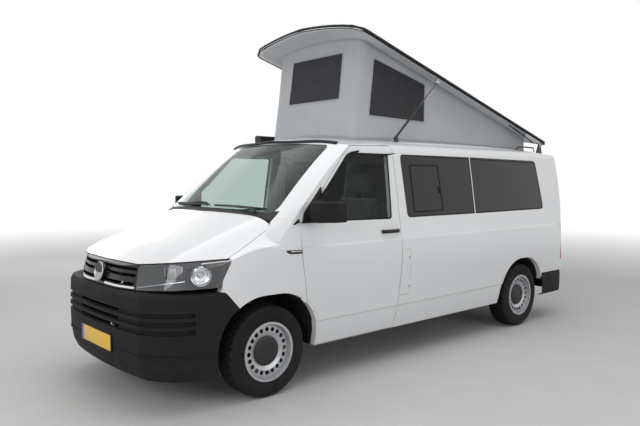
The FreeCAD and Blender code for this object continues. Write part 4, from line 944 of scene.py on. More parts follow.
@dataclass
class HeadLamp:
    """The inside of one headlamp: housing, reflectors and bright lines."""

    side: str
    sign: int
    bowl_spot: tuple[float, float, float] = (838, 392, 930)
    bowl_turn: float = 64.0
    bowl_radius: float = 0.071
    bowl_depth: float = 0.046
    well_reach: float = 0.06
    square_spot: tuple[float, float, float] = (717, 228, 946)
    square_turn: float = 37.0
    square_steps: tuple[tuple[float, float, float], ...] = (
        (0.0415, -0.043, -0.036), (0.034, -0.036, -0.030))
    rim_half: float = 0.0405
    rim_depth: float = 0.007
    lower_line: tuple[Pair, ...] = ((478, 838), (560, 852), (640, 868), (705, 880), (760, 890), (782, 896))
    upper_line: tuple[Pair, ...] = ((800, 1006), (830, 1012), (858, 1017), (880, 1021))

    def build(self) -> None:
        """Build the lamp's pieces."""
        self.housing()
        self.bowl()
        self.square()
        self.lines()

    def housing(self) -> None:
        """Copy this side's housing and widen the well of its main beam."""
        middle, out = self.spot(self.bowl_spot, self.bowl_turn)[:2]
        mesh = bmesh.new()
        mesh.from_mesh(frame["nodes"]["headlamps"].data)
        other = [vert for vert in mesh.verts if vert.co.x * self.sign < 0]
        bmesh.ops.delete(mesh, geom=other, context="VERTS")
        body = Shape(mesh).piece(f"headlamp_body_{self.side}", LAMP_GREY, "lamp_housing", angle=24.0)
        well = Shape()
        well.rod(middle - out * self.bowl_depth, middle + out * self.well_reach, self.bowl_radius, None, 52)
        tool = well.data("well_work")
        cutter = placed("well_work", tool)
        cut = body.modifiers.new("well", "BOOLEAN")
        cut.operation = "DIFFERENCE"
        cut.solver = "EXACT"
        cut.object = cutter
        settle(body)
        bpy.data.objects.remove(cutter)
        bpy.data.meshes.remove(tool)
        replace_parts(body, "headlamps")

    def spot(self, place: tuple[float, float, float], turn: float) -> tuple[Vector, Vector, Vector]:
        """Return a well's middle, its outward direction and its sideways direction."""
        angle = math.radians(turn)
        out = Vector((math.sin(angle) * self.sign, -math.cos(angle), 0))
        across = Vector((math.cos(angle) * self.sign, math.sin(angle), 0))
        return at(place[0] * self.sign, place[1], place[2]), out, across

    def bowl(self) -> None:
        """Build the main beam's faceted bowl with its bulb shade."""
        middle, out = self.spot(self.bowl_spot, self.bowl_turn)[:2]
        bowl = Shape()
        wide = self.bowl_radius - 0.001
        profile = [(-0.040, 0.0), (-0.040, 0.012), (-0.038, 0.024), (-0.032, 0.40 * wide + 0.014),
                   (-0.022, 0.80 * wide), (-0.012, 0.93 * wide), (-0.006, wide - 0.001), (-0.006, wide),
                   (-0.044, wide), (-0.044, 0.0)]
        bowl.turned(profile, middle, out, UP, 26)
        bowl.piece(f"headlamp_bowl_{self.side}", REFLECTOR, "lamp_housing", angle=12.0)
        bulb = Shape()
        bulb.rod(middle - out * 0.041, middle - out * 0.018, 0.0125, 0.0110)
        bulb.rod(middle - out * 0.018, middle - out * 0.010, 0.0150, 0.0120)
        bulb.piece(f"headlamp_bulb_{self.side}", CHROME, "lamp_housing", angle=30.0)

    def ring(self, half: float, depth: float) -> list[Vector]:
        """Return the corners of a square in the inner lamp's well, at a depth along its direction."""
        middle, out, across = self.spot(self.square_spot, self.square_turn)
        return [middle + across * a * half + UP * b * half + out * depth for a, b in CORNERS]

    def square(self) -> None:
        """Build the inner lamp's stepped square reflector."""
        middle, out = self.spot(self.square_spot, self.square_turn)[:2]
        stepped = Shape()
        for half, low, high in self.square_steps:
            stepped.slab(self.ring(half, low), out * (high - low), 0.003, 2)
        stepped.ball(middle - out * 0.030, 0.014, 20)
        stepped.piece(f"headlamp_square_{self.side}", LAMP_SATIN, "lamp_housing", angle=30.0)
        rim = Shape()
        rim.tube(self.ring(self.rim_half, -self.rim_depth), 0.0022, 8, True)
        rim.piece(f"headlamp_square_rim_{self.side}", CHROME, "lamp_housing", angle=40.0)

    def lines(self) -> None:
        """Build the bright line along the lamp's foot and the one below its top."""
        shape = Shape()
        for line, height in ((self.lower_line, 9.0), (self.upper_line, 7.0)):
            path = [skin.front(x * self.sign, z) + Vector((0.0, 0.0003, 0.0)) for x, z in line]
            shape.tube(path, height / 2 * MM, 8, False, 0.7)
        shape.piece(f"headlamp_lines_{self.side}", CHROME, "lamp_housing", angle=40.0)


@dataclass
class NoseTrim:
    """The grille's bright strips, its plain badge, the front plate and the bumper's small parts."""

    strip: tuple[float, float, float, float] = (80, 455, 829.0, 842.0)
    badge_spot: Pair = (0.0, 905.0)
    badge_profile: tuple[Pair, ...] = (
        (0.0, 0.0), (0.0, 0.071), (0.004, 0.0725), (0.008, 0.070), (0.009, 0.066), (0.006, 0.0625),
        (0.0035, 0.060), (0.003, 0.030), (0.0028, 0.0))
    plate_half: float = 260.0
    plate_low: float = 369.0
    plate_high: float = 482.0
    plate_band: float = 34.0
    carrier_rim: float = 7.0
    tow_lid: tuple[float, float, float, float] = (-470, -395, 300, 352)

    def build(self) -> None:
        """Build the nose's pieces."""
        for name, sign in SIDES:
            lay(f"grille_strip_{name}", CHROME, rounded(box(*self.strip), 5.0, 3),
                lambda x, z: skin.front(x * sign, z), Vector((0, -0.003, 0)), 0.004, "grille_plastic",
                step=30.0)
        self.badge()
        self.plate()
        lay("tow_cover", BUMPER, rounded(box(*self.tow_lid), 10.0, 4), skin.front, Vector((0, -0.0012, 0)),
            0.003, "bumper_plastic", step=25.0)

    def badge(self) -> None:
        """Build the bare round badge: a bright ring with a plain dished face."""
        middle = skin.front(*self.badge_spot) + Vector((0, 0.004, 0))
        lean = Vector((0, -1, 0.18)).normalized()
        ring = Shape()
        ring.turned(self.badge_profile, middle, lean, Vector((1, 0, 0)), 64)
        ring.piece("badge_plain", BADGE_METAL, "grille_plastic", angle=25.0)

    def plate(self) -> None:
        """Build the blank front plate, its blue end and its carrier."""
        half, seam, rim = self.plate_half, self.plate_band - self.plate_half, self.carrier_rim
        rows = (
            ("plate_carrier_front", TRIM, "bumper_plastic", -half - rim, half + rim, 2.2, 11.5, rim, 0.002),
            ("plate_front", PLATE_YELLOW, "trim_plastic", seam, half, 0.7, 2.4, 0.0, 0.0007),
            ("plate_front_band", PLATE_BLUE, "trim_plastic", -half, seam, 0.7, 2.4, 0.0, 0.0007))
        for name, finish, slot, right, left, face, back, extra, bevel in rows:
            foot = at(right, face, self.plate_low - extra)
            shape = Shape()
            shape.block(foot, at(left, back, self.plate_high + extra), bevel)
            shape.piece(name, finish, slot)


@dataclass
class Wiper:
    """One wiper on a pane: its pivot, arm and blade."""

    name: str
    body: str
    pivot: Vector
    middle: Vector
    start: Pair
    end: Pair
    look: Look
    normal: Vector
    steps: int = 12
    blade_lift: float = 0.005
    spine_lift: float = 0.012
    spine_bow: float = 0.008

    def build(self) -> None:
        """Build the wiper as one piece of satin black."""
        shape = Shape()
        blade, spine = [], []
        for step in range(self.steps + 1):
            share = step / self.steps
            x = self.start[0] + (self.end[0] - self.start[0]) * share
            z = self.start[1] + (self.end[1] - self.start[1]) * share
            spot = self.look(x, z)
            blade.append(spot + self.normal * self.blade_lift)
            spine.append(spot + self.normal * (self.spine_lift + self.spine_bow * math.sin(math.pi * share)))
        shape.tube(blade, 0.0042, 6)
        shape.tube(spine, 0.0048, 6)
        shape.rod(self.pivot - self.normal * 0.012, self.pivot + self.normal * 0.016, 0.013, 0.010, 18)
        elbow = self.pivot.lerp(self.middle, 0.35) + self.normal * 0.026
        shape.tube([self.pivot + self.normal * 0.014, elbow, self.middle + self.normal * 0.022], 0.0065)
        shape.piece(self.name, SATIN_BLACK, body=self.body, angle=40.0)


@dataclass
class GlassTrim:
    """Seals, the sliding pane's frame, the joint of the long panes, the roof's front strip and the wipers."""

    door_window: tuple[Pair, ...] = ((1240, 1263), (1742, 1782), (1790, 1802), (2244, 1802), (2217, 1249))
    long_window: tuple[Pair, ...] = ((2425, 1252), (2400, 1801), (4690, 1774), (4757, 1262))
    sliding_pane: tuple[Pair, ...] = ((2522, 1291), (2513, 1717), (2925, 1717), (2945, 1291))
    catch: Pair = (2905, 1480)
    joint: tuple[float, float, float, float] = (3426, 3454, 1254, 1797)
    strip_half: float = 736.0
    strip_start: float = 1612.0
    strip_sweep: float = 126.0
    strip_steps: int = 24

    def build(self) -> None:
        """Build every piece on the panes."""
        self.seals()
        self.pane_frame()
        self.pane_joint()
        self.roof_strip()
        self.wipers()

    def seals(self) -> None:
        """Lay rubber seals over the joints round the side panes."""
        rows = [(f"door_seal_{name}", self.door_window, sign, 13.0, f"door_{name}", 30.0)
                for name, sign in SIDES]
        rows.append(("long_window_seal", self.long_window, 1, 9.0, "chassis", 34.0))
        for name, outline, sign, rim, body, radius in rows:
            lay(name, RUBBER, rounded(outline, radius), partial(skin.side, sign),
                Vector((sign * 0.0012, 0, 0)), 0.003, body=body, rim=rim, step=70.0)

    def pane_frame(self) -> None:
        """Build the sliding pane's frame on the left glass and its small catch."""
        shape = Shape()
        cover(shape, rounded(self.sliding_pane, 16.0, 4), partial(skin.side, 1), Vector((0.0025, 0, 0)),
              0.004, rim=13.0)
        spot = skin.side(1, *self.catch)
        shape.block(spot + Vector((-0.002, -0.012, -0.035)), spot + Vector((0.004, 0.012, 0.035)), 0.002)
        shape.piece("sliding_pane_frame", RUBBER, "dark_glass", angle=35.0)

    def pane_joint(self) -> None:
        """Fill the joint between the two long panes on the left."""

        def look(station: float, z: float) -> Vector:
            """Return the glass's point beside the joint, moved to the station."""
            beside = skin.side(1, self.joint[0] - 12, z)
            return Vector((beside.x, (station - HALF_LENGTH) * MM, beside.z))

        left, right, low, high = self.joint
        outline = ((left, low), (left, high), (right, high), (right, low))
        lay("long_window_joint", RUBBER, outline, look, Vector((0.0008, 0, 0)), 0.003, "dark_glass")

    def roof_strip(self) -> None:
        """Build the black profile on the front edge of the fixed roof."""
        path = []
        for step in range(self.strip_steps + 1):
            x = -self.strip_half + 2 * self.strip_half * step / self.strip_steps
            sweep = (x / self.strip_half) ** 2
            path.append(skin.top(x, self.strip_start + self.strip_sweep * sweep) + Vector((0, 0, 0.001)))
        shape = Shape()
        shape.tube(path, 0.017, 10)
        shape.piece("roof_front_strip", TRIM, angle=40.0)

    def wipers(self) -> None:
        """Build both front wipers and the rear one."""
        lean = Vector((0, -0.62, 0.78)).normalized()
        spans = (("wiper_left", (690, 1352), (60, 1362), 610),
                 ("wiper_right", (-20, 1366), (-640, 1358), -90))
        for name, start, end, pivot_x in spans:
            middle = skin.front((start[0] + end[0]) / 2, (start[1] + end[1]) / 2)
            pivot = skin.top(pivot_x, 1010)
            Wiper(name, "chassis", pivot, middle, start, end, skin.front, lean).build()
        back = Vector((0, 1, 0.12)).normalized()
        pivot, middle = skin.rear(0, 1266), skin.rear(-150, 1330)
        Wiper("wiper_rear", "tailgate", pivot, middle, (-330, 1352), (60, 1312), skin.rear, back).build()


@dataclass
class DoorTrim:
    """A front door's mirror, its sail and its handle."""

    side: str
    sign: int
    head_plan: tuple[Pair, ...] = ((965, 1262), (1000, 1222), (1075, 1252), (1147, 1368), (1147, 1462),
            (1120, 1482), (975, 1388))
    head_low: float = 1262.0
    head_high: float = 1416.0
    arm_spot: Pair = (1300, 1290)
    face_box: tuple[float, float, float, float] = (14, 158, 1276, 1402)
    sail: tuple[Pair, ...] = ((1212, 1254), (1237, 1331), (1437, 1533), (1450, 1252))
    sail_tip: tuple[Pair, ...] = ((1104, 1233), (1189, 1296), (1189, 1262))
    handle_height: float = 1146.0
    handle_path: tuple[Pair, ...] = ((2076, 0.002), (2092, 0.020), (2120, 0.029), (2180, 0.032),
            (2240, 0.029), (2268, 0.020), (2288, 0.002))

    def build(self) -> None:
        """Build the pieces of one door."""
        made = [self.head(), self.handle(), self.plate("sail", self.sail, f"door_{self.side}")]
        for item in made:
            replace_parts(item, f"door_trim_{self.side}")
        self.plate("sail_tip", self.sail_tip, "chassis")
        self.face()

    def head(self) -> bpy.types.Object:
        """Return the mirror's head with its arm."""
        shape = Shape()
        rise = Vector((0, 0, (self.head_high - self.head_low) * MM))
        plan = [at(x * self.sign, station, self.head_low) for x, station in self.head_plan]
        shape.slab(plan, rise, 0.016, 4)
        foot = skin.side(self.sign, *self.arm_spot) + Vector((-0.004 * self.sign, 0, 0))
        shape.tube([foot, at(935 * self.sign, 1300, 1288), at(985 * self.sign, 1305, 1290)], 0.021, 14)
        return shape.piece(f"mirror_head_{self.side}", BUMPER, body=f"door_{self.side}", angle=40.0)

    def face(self) -> None:
        """Build the mirror's glass on the rear of its head."""
        shape = Shape()
        inner, outer = Vector(self.head_plan[-1]), Vector(self.head_plan[-2])
        along = (outer - inner).normalized()
        back = Vector((-along.y * self.sign, along.x, 0))
        corners = []
        for reach, z in rounded(box(*self.face_box), 18.0, 4):
            spot = inner + along * reach
            corners.append(at(spot.x * self.sign, spot.y, z) - back * 0.0010)
        shape.slab(corners, back * 0.0024, 0.0008, 1)
        shape.piece(f"mirror_face_{self.side}", MIRROR, body=f"door_{self.side}", angle=35.0)

    def plate(self, label: str, outline: Sequence[Pair], body: str) -> bpy.types.Object:
        """Return a thin black plate laid on the side below the mirror."""
        look = partial(skin.side, self.sign)
        return lay(f"mirror_{label}_{self.side}", TRIM, rounded(outline, 5.0, 2), look,
                   Vector((self.sign * 0.003, 0, 0)), 0.004, body=body, step=50.0)

    def handle(self) -> bpy.types.Object:
        """Return the pull handle."""
        shape = Shape()
        path = []
        for station, lift in self.handle_path:
            path.append(skin.side(self.sign, station, self.handle_height) + Vector((lift * self.sign, 0, 0)))
        shape.tube(path, 0.0155, 14, False, 0.62)
        return shape.piece(f"door_handle_{self.side}", TRIM, body=f"door_{self.side}", angle=45.0)


@dataclass
class LowerBody:
    """The side panels cut at the sill, the rear bumper round both corners, and the wings' rear edge."""

    sill: float = 298.0
    bumper_start: float = 4708.0
    bumper_top: float = 541.0
    near: float = 1e-6
    corner: tuple[Pair, ...] = ((944, 4716), (945, 4900), (944, 5020), (941, 5090), (931, 5142), (906, 5184),
                                (868, 5214), (800, 5240), (700, 5263), (560, 5280), (400, 5291), (200, 5298),
                                (0, 5300))
    section: tuple[Pair, ...] = ((60, 290), (22, 290), (8, 297), (3, 312), (0, 400), (0, 500), (3, 524),
                                 (10, 536), (24, 540), (60, 540))
    bumper_middle: Pair = (0, 4300)
    wedge: tuple[Pair, ...] = ((1187, 985), (1192, 985), (1233, 690), (1237, 652), (1187, 683))
    wedge_span: Pair = (1183, 1268)

    def build(self) -> None:
        """Build the lower body's pieces."""
        for side, sign in SIDES:
            self.panel(side)
            self.wing_edge(side, sign)
        self.bumper()

    def panel(self, side: str) -> None:
        """Copy a side panel, end it at the sill and open it for the rear bumper."""
        mesh = bmesh.new()
        mesh.from_mesh(frame["nodes"][f"side_panel_{side}"].data)
        bmesh.ops.remove_doubles(mesh, verts=mesh.verts, dist=self.near)
        rim = bisect(mesh, (0, 0, self.sill * MM), (0, 0, 1), self.near, True)
        bmesh.ops.holes_fill(mesh, edges=rim, sides=0)
        start = (self.bumper_start - HALF_LENGTH) * MM
        top = self.bumper_top * MM
        for spot, normal in (((0, start, 0), (0, 1, 0)), ((0, 0, top), (0, 0, 1))):
            bisect(mesh, spot, normal, self.near)
        gone = []
        for face in mesh.faces:
            middle = face.calc_center_median()
            if middle.y > start and middle.z < top:
                gone.append(face)
        bmesh.ops.delete(mesh, geom=gone, context="FACES")
        made = Shape(mesh).piece(f"side_skin_{side}", WHITE_PAINT, "body_paint", angle=24.0)
        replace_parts(made, f"side_panel_{side}")

    def bumper(self) -> None:
        """Build the rear bumper from its section, led round both corners in plan."""
        shape = Shape()
        half = [Vector(pair) for pair in self.corner]
        plan = half + [Vector((-spot.x, spot.y)) for spot in reversed(half[:-1])]
        rings = []
        for inset, z in self.section:
            ring = []
            for index, spot in enumerate(plan):
                before, after = plan[max(0, index - 1)], plan[min(len(plan) - 1, index + 1)]
                along = (after - before).normalized()
                inward = Vector((along.y, -along.x))
                if inward.dot(Vector(self.bumper_middle) - spot) < 0:
                    inward.negate()
                moved = spot + inward * inset
                ring.append(shape.mesh.verts.new(at(moved.x, moved.y, z)))
            rings.append([shape.mesh.edges.new(pair) for pair in zip(ring, ring[1:])])
        for first, second in zip(rings, rings[1:]):
            bmesh.ops.bridge_loops(shape.mesh, edges=first + second)
        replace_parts(shape.piece("rear_bumper_cover", BUMPER, "bumper_plastic", angle=50.0), "rear_bumper")

    def wing_edge(self, side: str, sign: int) -> None:
        """Carry the wing's rear edge back to the door's slanted front edge."""
        start, end = self.wedge_span

        def look(station: float, z: float) -> Vector:
            """Return a point between the wing's face and the door's."""
            spot = skin.side(sign, start, z).lerp(skin.side(sign, end, z), (station - start) / (end - start))
            return Vector((spot.x, (station - HALF_LENGTH) * MM, z * MM))

        lay(f"wing_edge_{side}", WHITE_PAINT, self.wedge, look, Vector((sign * 0.0001, 0, 0)), 0.003,
            "body_paint", step=40.0)


@dataclass
class SideTrim:
    """The fins on the wings, and the sliding door's handle and rail."""

    fin: tuple[Pair, ...] = ((1036, 1064), (1186, 1061), (1186, 1033), (1086, 1035), (1056, 1043))
    fin_light: tuple[Pair, ...] = ((1076, 1057), (1183, 1055), (1183, 1049), (1088, 1050))
    rail: tuple[float, float, float, float] = (3452, 4760, 1062, 1078)
    handle_height: float = 1146.0
    handle_path: tuple[Pair, ...] = ((2402, 0.001), (2425, 0.0), (2500, 0.0), (2575, 0.0), (2598, 0.001))

    def build(self) -> None:
        """Build the sides' small parts."""
        rows = []
        for name, sign in SIDES:
            rows.append((f"side_fin_{name}", self.fin, sign, 4.0, 0.003, GLOSS_BLACK, "grille_plastic"))
            rows.append((f"side_fin_light_{name}", self.fin_light, sign, 2.0, 0.0045, CHROME,
                         "grille_plastic"))
        rows.append(("sliding_door_rail", box(*self.rail), -1, 5.0, 0.0015, TRIM, "trim_plastic"))
        for name, outline, sign, radius, lift, finish, slot in rows:
            lay(name, finish, rounded(outline, radius, 3), partial(skin.side, sign),
                Vector((sign * lift, 0, 0)), 0.003, slot)
        self.sliding_handle()

    def sliding_handle(self) -> None:
        """Build the pull handle of the sliding door."""
        shape = Shape()
        path = []
        for station, lift in self.handle_path:
            path.append(skin.side(-1, station, self.handle_height) - Vector((0.004 - lift, 0, 0)))
        shape.tube(path, 0.013, 12, False, 0.9)
        shape.piece("sliding_door_handle", TRIM, angle=40.0)


@dataclass
class TailTrim:
    """The lamp bands, the rear plate, the tailgate's grip and the high brake lamp."""

    plate_low: float = 702.0
    plate_high: float = 812.0
    carrier_rim: float = 8.0
    band_span: Pair = (792, 916)

    def build(self) -> None:
        """Build the tail's pieces."""
        for name, sign in SIDES:
            for label, low, high, finish in (("amber", 930, 1004, AMBER), ("clear", 800, 868, TAIL_CLEAR)):
                lay(f"tail_band_{label}_{name}", finish, rounded(box(*self.band_span, low, high), 8.0, 3),
                    lambda x, z: skin.rear(x * sign, z), Vector((0, 0.0008, 0)), 0.002, "tail_lens",
                    step=16.0)
        low, high, rim = self.plate_low, self.plate_high, self.carrier_rim
        rows = (
            ("plate_carrier_rear", (-268, 268, low - rim, high + rim), 0.002, 10.0, TRIM, "trim_plastic"),
            ("plate_rear", (-226, 260, low, high), 0.0045, 6.0, PLATE_YELLOW, "trim_plastic"),
            ("plate_rear_band", (-260, -226.5, low, high), 0.0045, 3.0, PLATE_BLUE, "trim_plastic"),
            ("tailgate_grip", (-230, 230, 836, 872), 0.004, 12.0, TRIM, "trim_plastic"),
            ("high_brake_lamp", (-150, 150, 1836, 1852), 0.002, 6.0, TAIL_RED, "tail_lens"))
        for name, span, lift, radius, finish, slot in rows:
            lay(name, finish, rounded(box(*span), radius, 4), skin.rear, Vector((0, lift, 0)), 0.003, slot,
                "tailgate", step=50.0)


@dataclass
class Tent:
    """The canvas walls below the raised roof, with mesh windows and hems."""

    half: float = 575.0
    front: float = 2070.0
    lean: float = 116.0
    rear: float = 4896.0
    corner: float = 46.0
    along: int = 150
    rise: int = 26
    thickness: float = 0.0024
    keep: float = 0.05
    anchor_z: float = 1985.0
    front_window: tuple[Pair, ...] = ((-352, 2310), (352, 2310), (345, 2719), (-345, 2719))
    side_window: tuple[Pair, ...] = ((2285, 2159), (3049, 2144), (3052, 2500), (2345, 2662))
    piping_steps: int = 120
    surface: Skin | None = field(default=None, init=False)

    def build(self) -> None:
        """Build the walls, then the windows and hems that lie on them."""
        walls = self.walls()
        self.surface = Skin([walls])
        parts = []
        for name, sign in SIDES:
            parts += self.window(name, self.side_window, partial(self.surface.side, sign),
                                 Vector((sign, 0, 0)))
        parts += self.window("front", self.front_window, self.surface.front, Vector((0, -1, 0)))
        parts.append(self.foot_hem())
        solid = walls.modifiers.new("cloth_thickness", "SOLIDIFY")
        solid.thickness = self.thickness
        solid.offset = -1.0
        solid.use_quality_normals = True
        for item in [walls] + parts:
            self.fold(item)

    def path(self, share: float) -> Pair:
        """Return the wall's place in plan at a share of its run, as a width and a station, at its foot."""
        bend = math.pi / 2 * self.corner
        side_run = self.rear - self.front - self.corner
        front_run = 2 * (self.half - self.corner)
        run = share * (2 * side_run + 2 * bend + front_run)
        if run <= side_run:
            return self.half, self.rear - run
        run -= side_run
        if run <= bend:
            turn = run / self.corner
            return (self.half - self.corner + self.corner * math.cos(turn),
                    self.front + self.corner - self.corner * math.sin(turn))
        run -= bend
        if run <= front_run:
            return self.half - self.corner - run, self.front
        run -= front_run
        if run <= bend:
            turn = run / self.corner
            return (-self.half + self.corner - self.corner * math.sin(turn),
                    self.front + self.corner - self.corner * math.cos(turn))
        return -self.half, self.front + self.corner + run - bend

    def walls(self) -> bpy.types.Object:
        """Return the walls as one open sheet, pulled taut with soft creases."""
        roof = Skin([frame["nodes"]["roof_panel"]])
        shell = Skin([frame["nodes"]["pop_roof"]])
        shape = Shape()
        bmesh.ops.create_grid(shape.mesh, x_segments=self.along, y_segments=self.rise, size=0.5)
        for vert in shape.mesh.verts:
            share, height = vert.co.x + 0.5, vert.co.y + 0.5
            x, station = self.path(share)
            reach = max(0.0, min(1.0, (self.rear - station) / (self.rear - self.front)))
            station_top = station + self.lean * reach
            low = roof.top(x, station) + Vector((0, 0, 0.002))
            high = shell.under(x, station_top) - Vector((0, 0, 0.002))
            spot = low.lerp(high, height)
            tall = max((high.z - low.z), 0.02)
            middle = Vector((0, spot.y + (0.35 if station < 2400 else 0.0), spot.z))
            inward = (middle - spot).normalized()
            pull = math.sin(math.pi * height) * min(tall, 0.9)
            seam = 0.5 + 0.5 * noise(Vector((spot.x * 1.6, spot.y * 1.3, spot.z * 2.2)))
            crease = noise(Vector((spot.x * 5.0 + spot.z * 4.0, spot.y * 5.0 + spot.z * 4.0, 3.1)))
            vert.co = spot + inward * (0.010 * pull * seam + 0.0035 * pull * crease)
        walls = shape.piece("tent_walls", CANVAS, "canvas", angle=60.0)
        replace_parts(walls, "tent")
        return walls

    def window(self, name: str, outline: Sequence[Pair], look: Look, out: Vector) -> list[bpy.types.Object]:
        """Return one window's mesh cloth and the two hems round it.

        Args:
            name: which window it is.
            outline: its corners in the two coordinates that look takes.
            look: gives the wall's point for those coordinates.
            out: the outward direction.

        Returns:
            The three pieces.
        """
        inner = rounded(outline, 14.0, 3)
        wide = rounded(self.widened(outline, 16.0), 24.0, 4)
        rows = (("mesh", MESH_CLOTH, inner, 0.0016, 0.0014, None),
                ("hem", MESH_CLOTH, inner, 0.0034, 0.0018, 17.0),
                ("band", HEM, wide, 0.0024, 0.0016, 15.0))
        return [lay(f"tent_{label}_{name}", finish, edge, look, out * lift, thickness, "canvas",
                    rim=rim, step=45.0, angle=60.0)
                for label, finish, edge, lift, thickness, rim in rows]

    def widened(self, outline: Sequence[Pair], extra: float) -> list[Pair]:
        """Return a four-cornered outline pushed out from its middle."""
        middle = Vector((sum(a for a, b in outline) / len(outline),
                         sum(b for a, b in outline) / len(outline)))
        return [(a + math.copysign(extra, a - middle.x), b + math.copysign(extra, b - middle.y))
                for a, b in outline]

    def foot_hem(self) -> bpy.types.Object:
        """Return the piping where the walls meet the fixed roof."""
        roof = Skin([frame["nodes"]["roof_panel"]])
        shape = Shape()
        path = []
        for step in range(self.piping_steps + 1):
            x, station = self.path(step / self.piping_steps)
            path.append(roof.top(x, station) + Vector((math.copysign(0.002, x), 0, 0.005)))
        shape.tube(path, 0.0055, 6)
        return shape.piece("tent_foot_piping", HEM, "canvas", angle=60.0)

    def fold(self, item: bpy.types.Object) -> None:
        """Give a soft piece its own copy of its mesh."""
        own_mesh(item)


@dataclass
class RoofShell:
    """The raised shell's black edge trim and grey lining, both also painted shade, its strut fittings and
    hinge arms.
    """

    plan: tuple[Pair, ...] = ((-765, 5085), (-765, 1905), (-660, 1850), (0, 1812), (660, 1850), (765, 1905),
                              (765, 5085))
    liner: tuple[Pair, ...] = ((-712, 4700), (-712, 1935), (-630, 1890), (0, 1853), (630, 1890), (712, 1935),
                               (712, 4700))
    edge: float = 1984.0
    crown: float = 2082.0
    half: float = 800.0
    trim_step: float = 90.0
    trim_rise: float = 14.0
    clamp_spot: tuple[float, float, float] = (700, 3095, 2524)
    arm_width: float = 690.0
    arm: tuple[Pair, ...] = ((4360, 2004), (4700, 1985), (4900, 1972))
    rail_width: float = 682.0
    rail: tuple[Pair, ...] = ((4560, 0.006), (4600, 0.036), (4760, 0.046), (4925, 0.05), (4950, 0.008))

    def build(self) -> None:
        """Build every piece that rides on the shell, and the arms below it."""
        self.trim()
        self.lining()
        for name, sign in SIDES:
            self.strut_clamp(name, sign)
            self.rear_arm(name, sign)

    def low(self, x: float) -> float:
        """Return the height of the closed shell's underside at a width."""
        return self.edge + (self.crown - self.edge) * (1 - (x / self.half) ** 2)

    def trim(self) -> None:
        """Build the black rubber profile round the shell's lower edge, its black also painted shade on that
        edge.
        """
        outline = rounded(self.plan, 70.0, 6)
        path = []
        for index, (x, station) in enumerate(outline):
            after = outline[(index + 1) % len(outline)]
            count = max(1, int(math.dist((x, station), after) // self.trim_step))
            for step in range(count):
                share = step / count
                a, b = x + (after[0] - x) * share, station + (after[1] - station) * share
                path.append(raised(a * 0.992, b + (7 if b < 3000 else -7), self.low(a) + self.trim_rise))
        shape = Shape()
        # black tube along the shell's lower edge: a rubber seal, and painted shade of that edge
        shape.tube(path, 0.0175, 10, True, 0.62)
        shape.piece("roof_edge_trim_and_shade", RUBBER, "shell_plastic", body="pop_roof", angle=50.0)

    def lining(self) -> None:
        """Build the pale grey lining on the shell's underside, its grey also painted shade of the underside.
        """

        def look(x: float, station: float) -> Vector:
            """Return the underside's point, in the raised pose."""
            return raised(x, station, self.low(x) - 1.0)

        # grey sheet under the shell: a lining, and painted shade of the underside
        lay("roof_lining_and_shade", SHELL_LINER_AND_SHADE, rounded(self.liner, 50.0, 4), look, Vector((0, 0, -0.002)), 0.003,
            "shell_plastic", "pop_roof", step=110.0, angle=50.0)

    def strut_clamp(self, name: str, sign: int) -> None:
        """Build the pale fitting where a strut meets the shell."""
        x, station, z = self.clamp_spot
        spot = at(x * sign, station, z)
        shape = Shape()
        shape.block(spot + Vector((-0.007, -0.018, -0.015)), spot + Vector((0.007, 0.016, 0.015)), 0.004, 3)
        shape.rod(spot + Vector((-0.016, 0, 0)), spot + Vector((0.012, 0, 0)), 0.0085, 0.0085, 16)
        shape.piece(f"strut_clamp_{name}", REFLECTOR, "shell_plastic", body="pop_roof", angle=35.0)

    def rear_arm(self, name: str, sign: int) -> None:
        """Build the black guide arm of the shell's rear and the rail below it."""
        arm = Shape()
        path = [raised(self.arm_width, station, z) for station, z in self.arm]
        arm.tube(mirrored(path, sign), 0.008, 8, False, 0.6)
        arm.piece(f"roof_guide_arm_{name}", SATIN_BLACK, "black_steel", body="pop_roof", angle=40.0)
        rail = Shape()
        path = [skin.top(self.rail_width * sign, station) + Vector((0, 0, lift))
                for station, lift in self.rail]
        rail.tube(path, 0.008, 8, False, 0.7)
        rail.piece(f"roof_guide_rail_{name}", SATIN_BLACK, "black_steel", angle=40.0)


@dataclass
class Awning:
    """The rolled awning's end caps and its front rail."""

    section: tuple[Pair, ...] = ((-904, 1955), (-904, 2024), (-880, 2033), (-813, 2029), (-803, 1955))
    ends: tuple[tuple[str, float, float], ...] = (("front", 2100, 2128), ("rear", 4922, 4950))
    rail: Pair = (2135, 4915)
    play: float = 0.4

    def build(self) -> None:
        """Build the awning's small parts."""
        for label, start, end in self.ends:
            cap = Shape()
            along = Vector((0, (end - start - 2 * self.play) * MM, 0))
            corners = [at(x, start + self.play, z) for x, z in rounded(self.section, 11.0, 4)]
            cap.slab(corners, along, 0.003, 2)
            cap.piece(f"awning_cap_{label}", TRIM, "awning_case", angle=35.0)
        start, end = self.rail
        slit = Shape()
        slit.block(at(-904.6, start, 1966), at(-901, end, 1971), 0.001)
        slit.block(at(-904.6, start, 1975), at(-902, end, 1994), 0.0008)
        slit.piece("awning_front_rail", SATIN_BLACK, "awning_case")


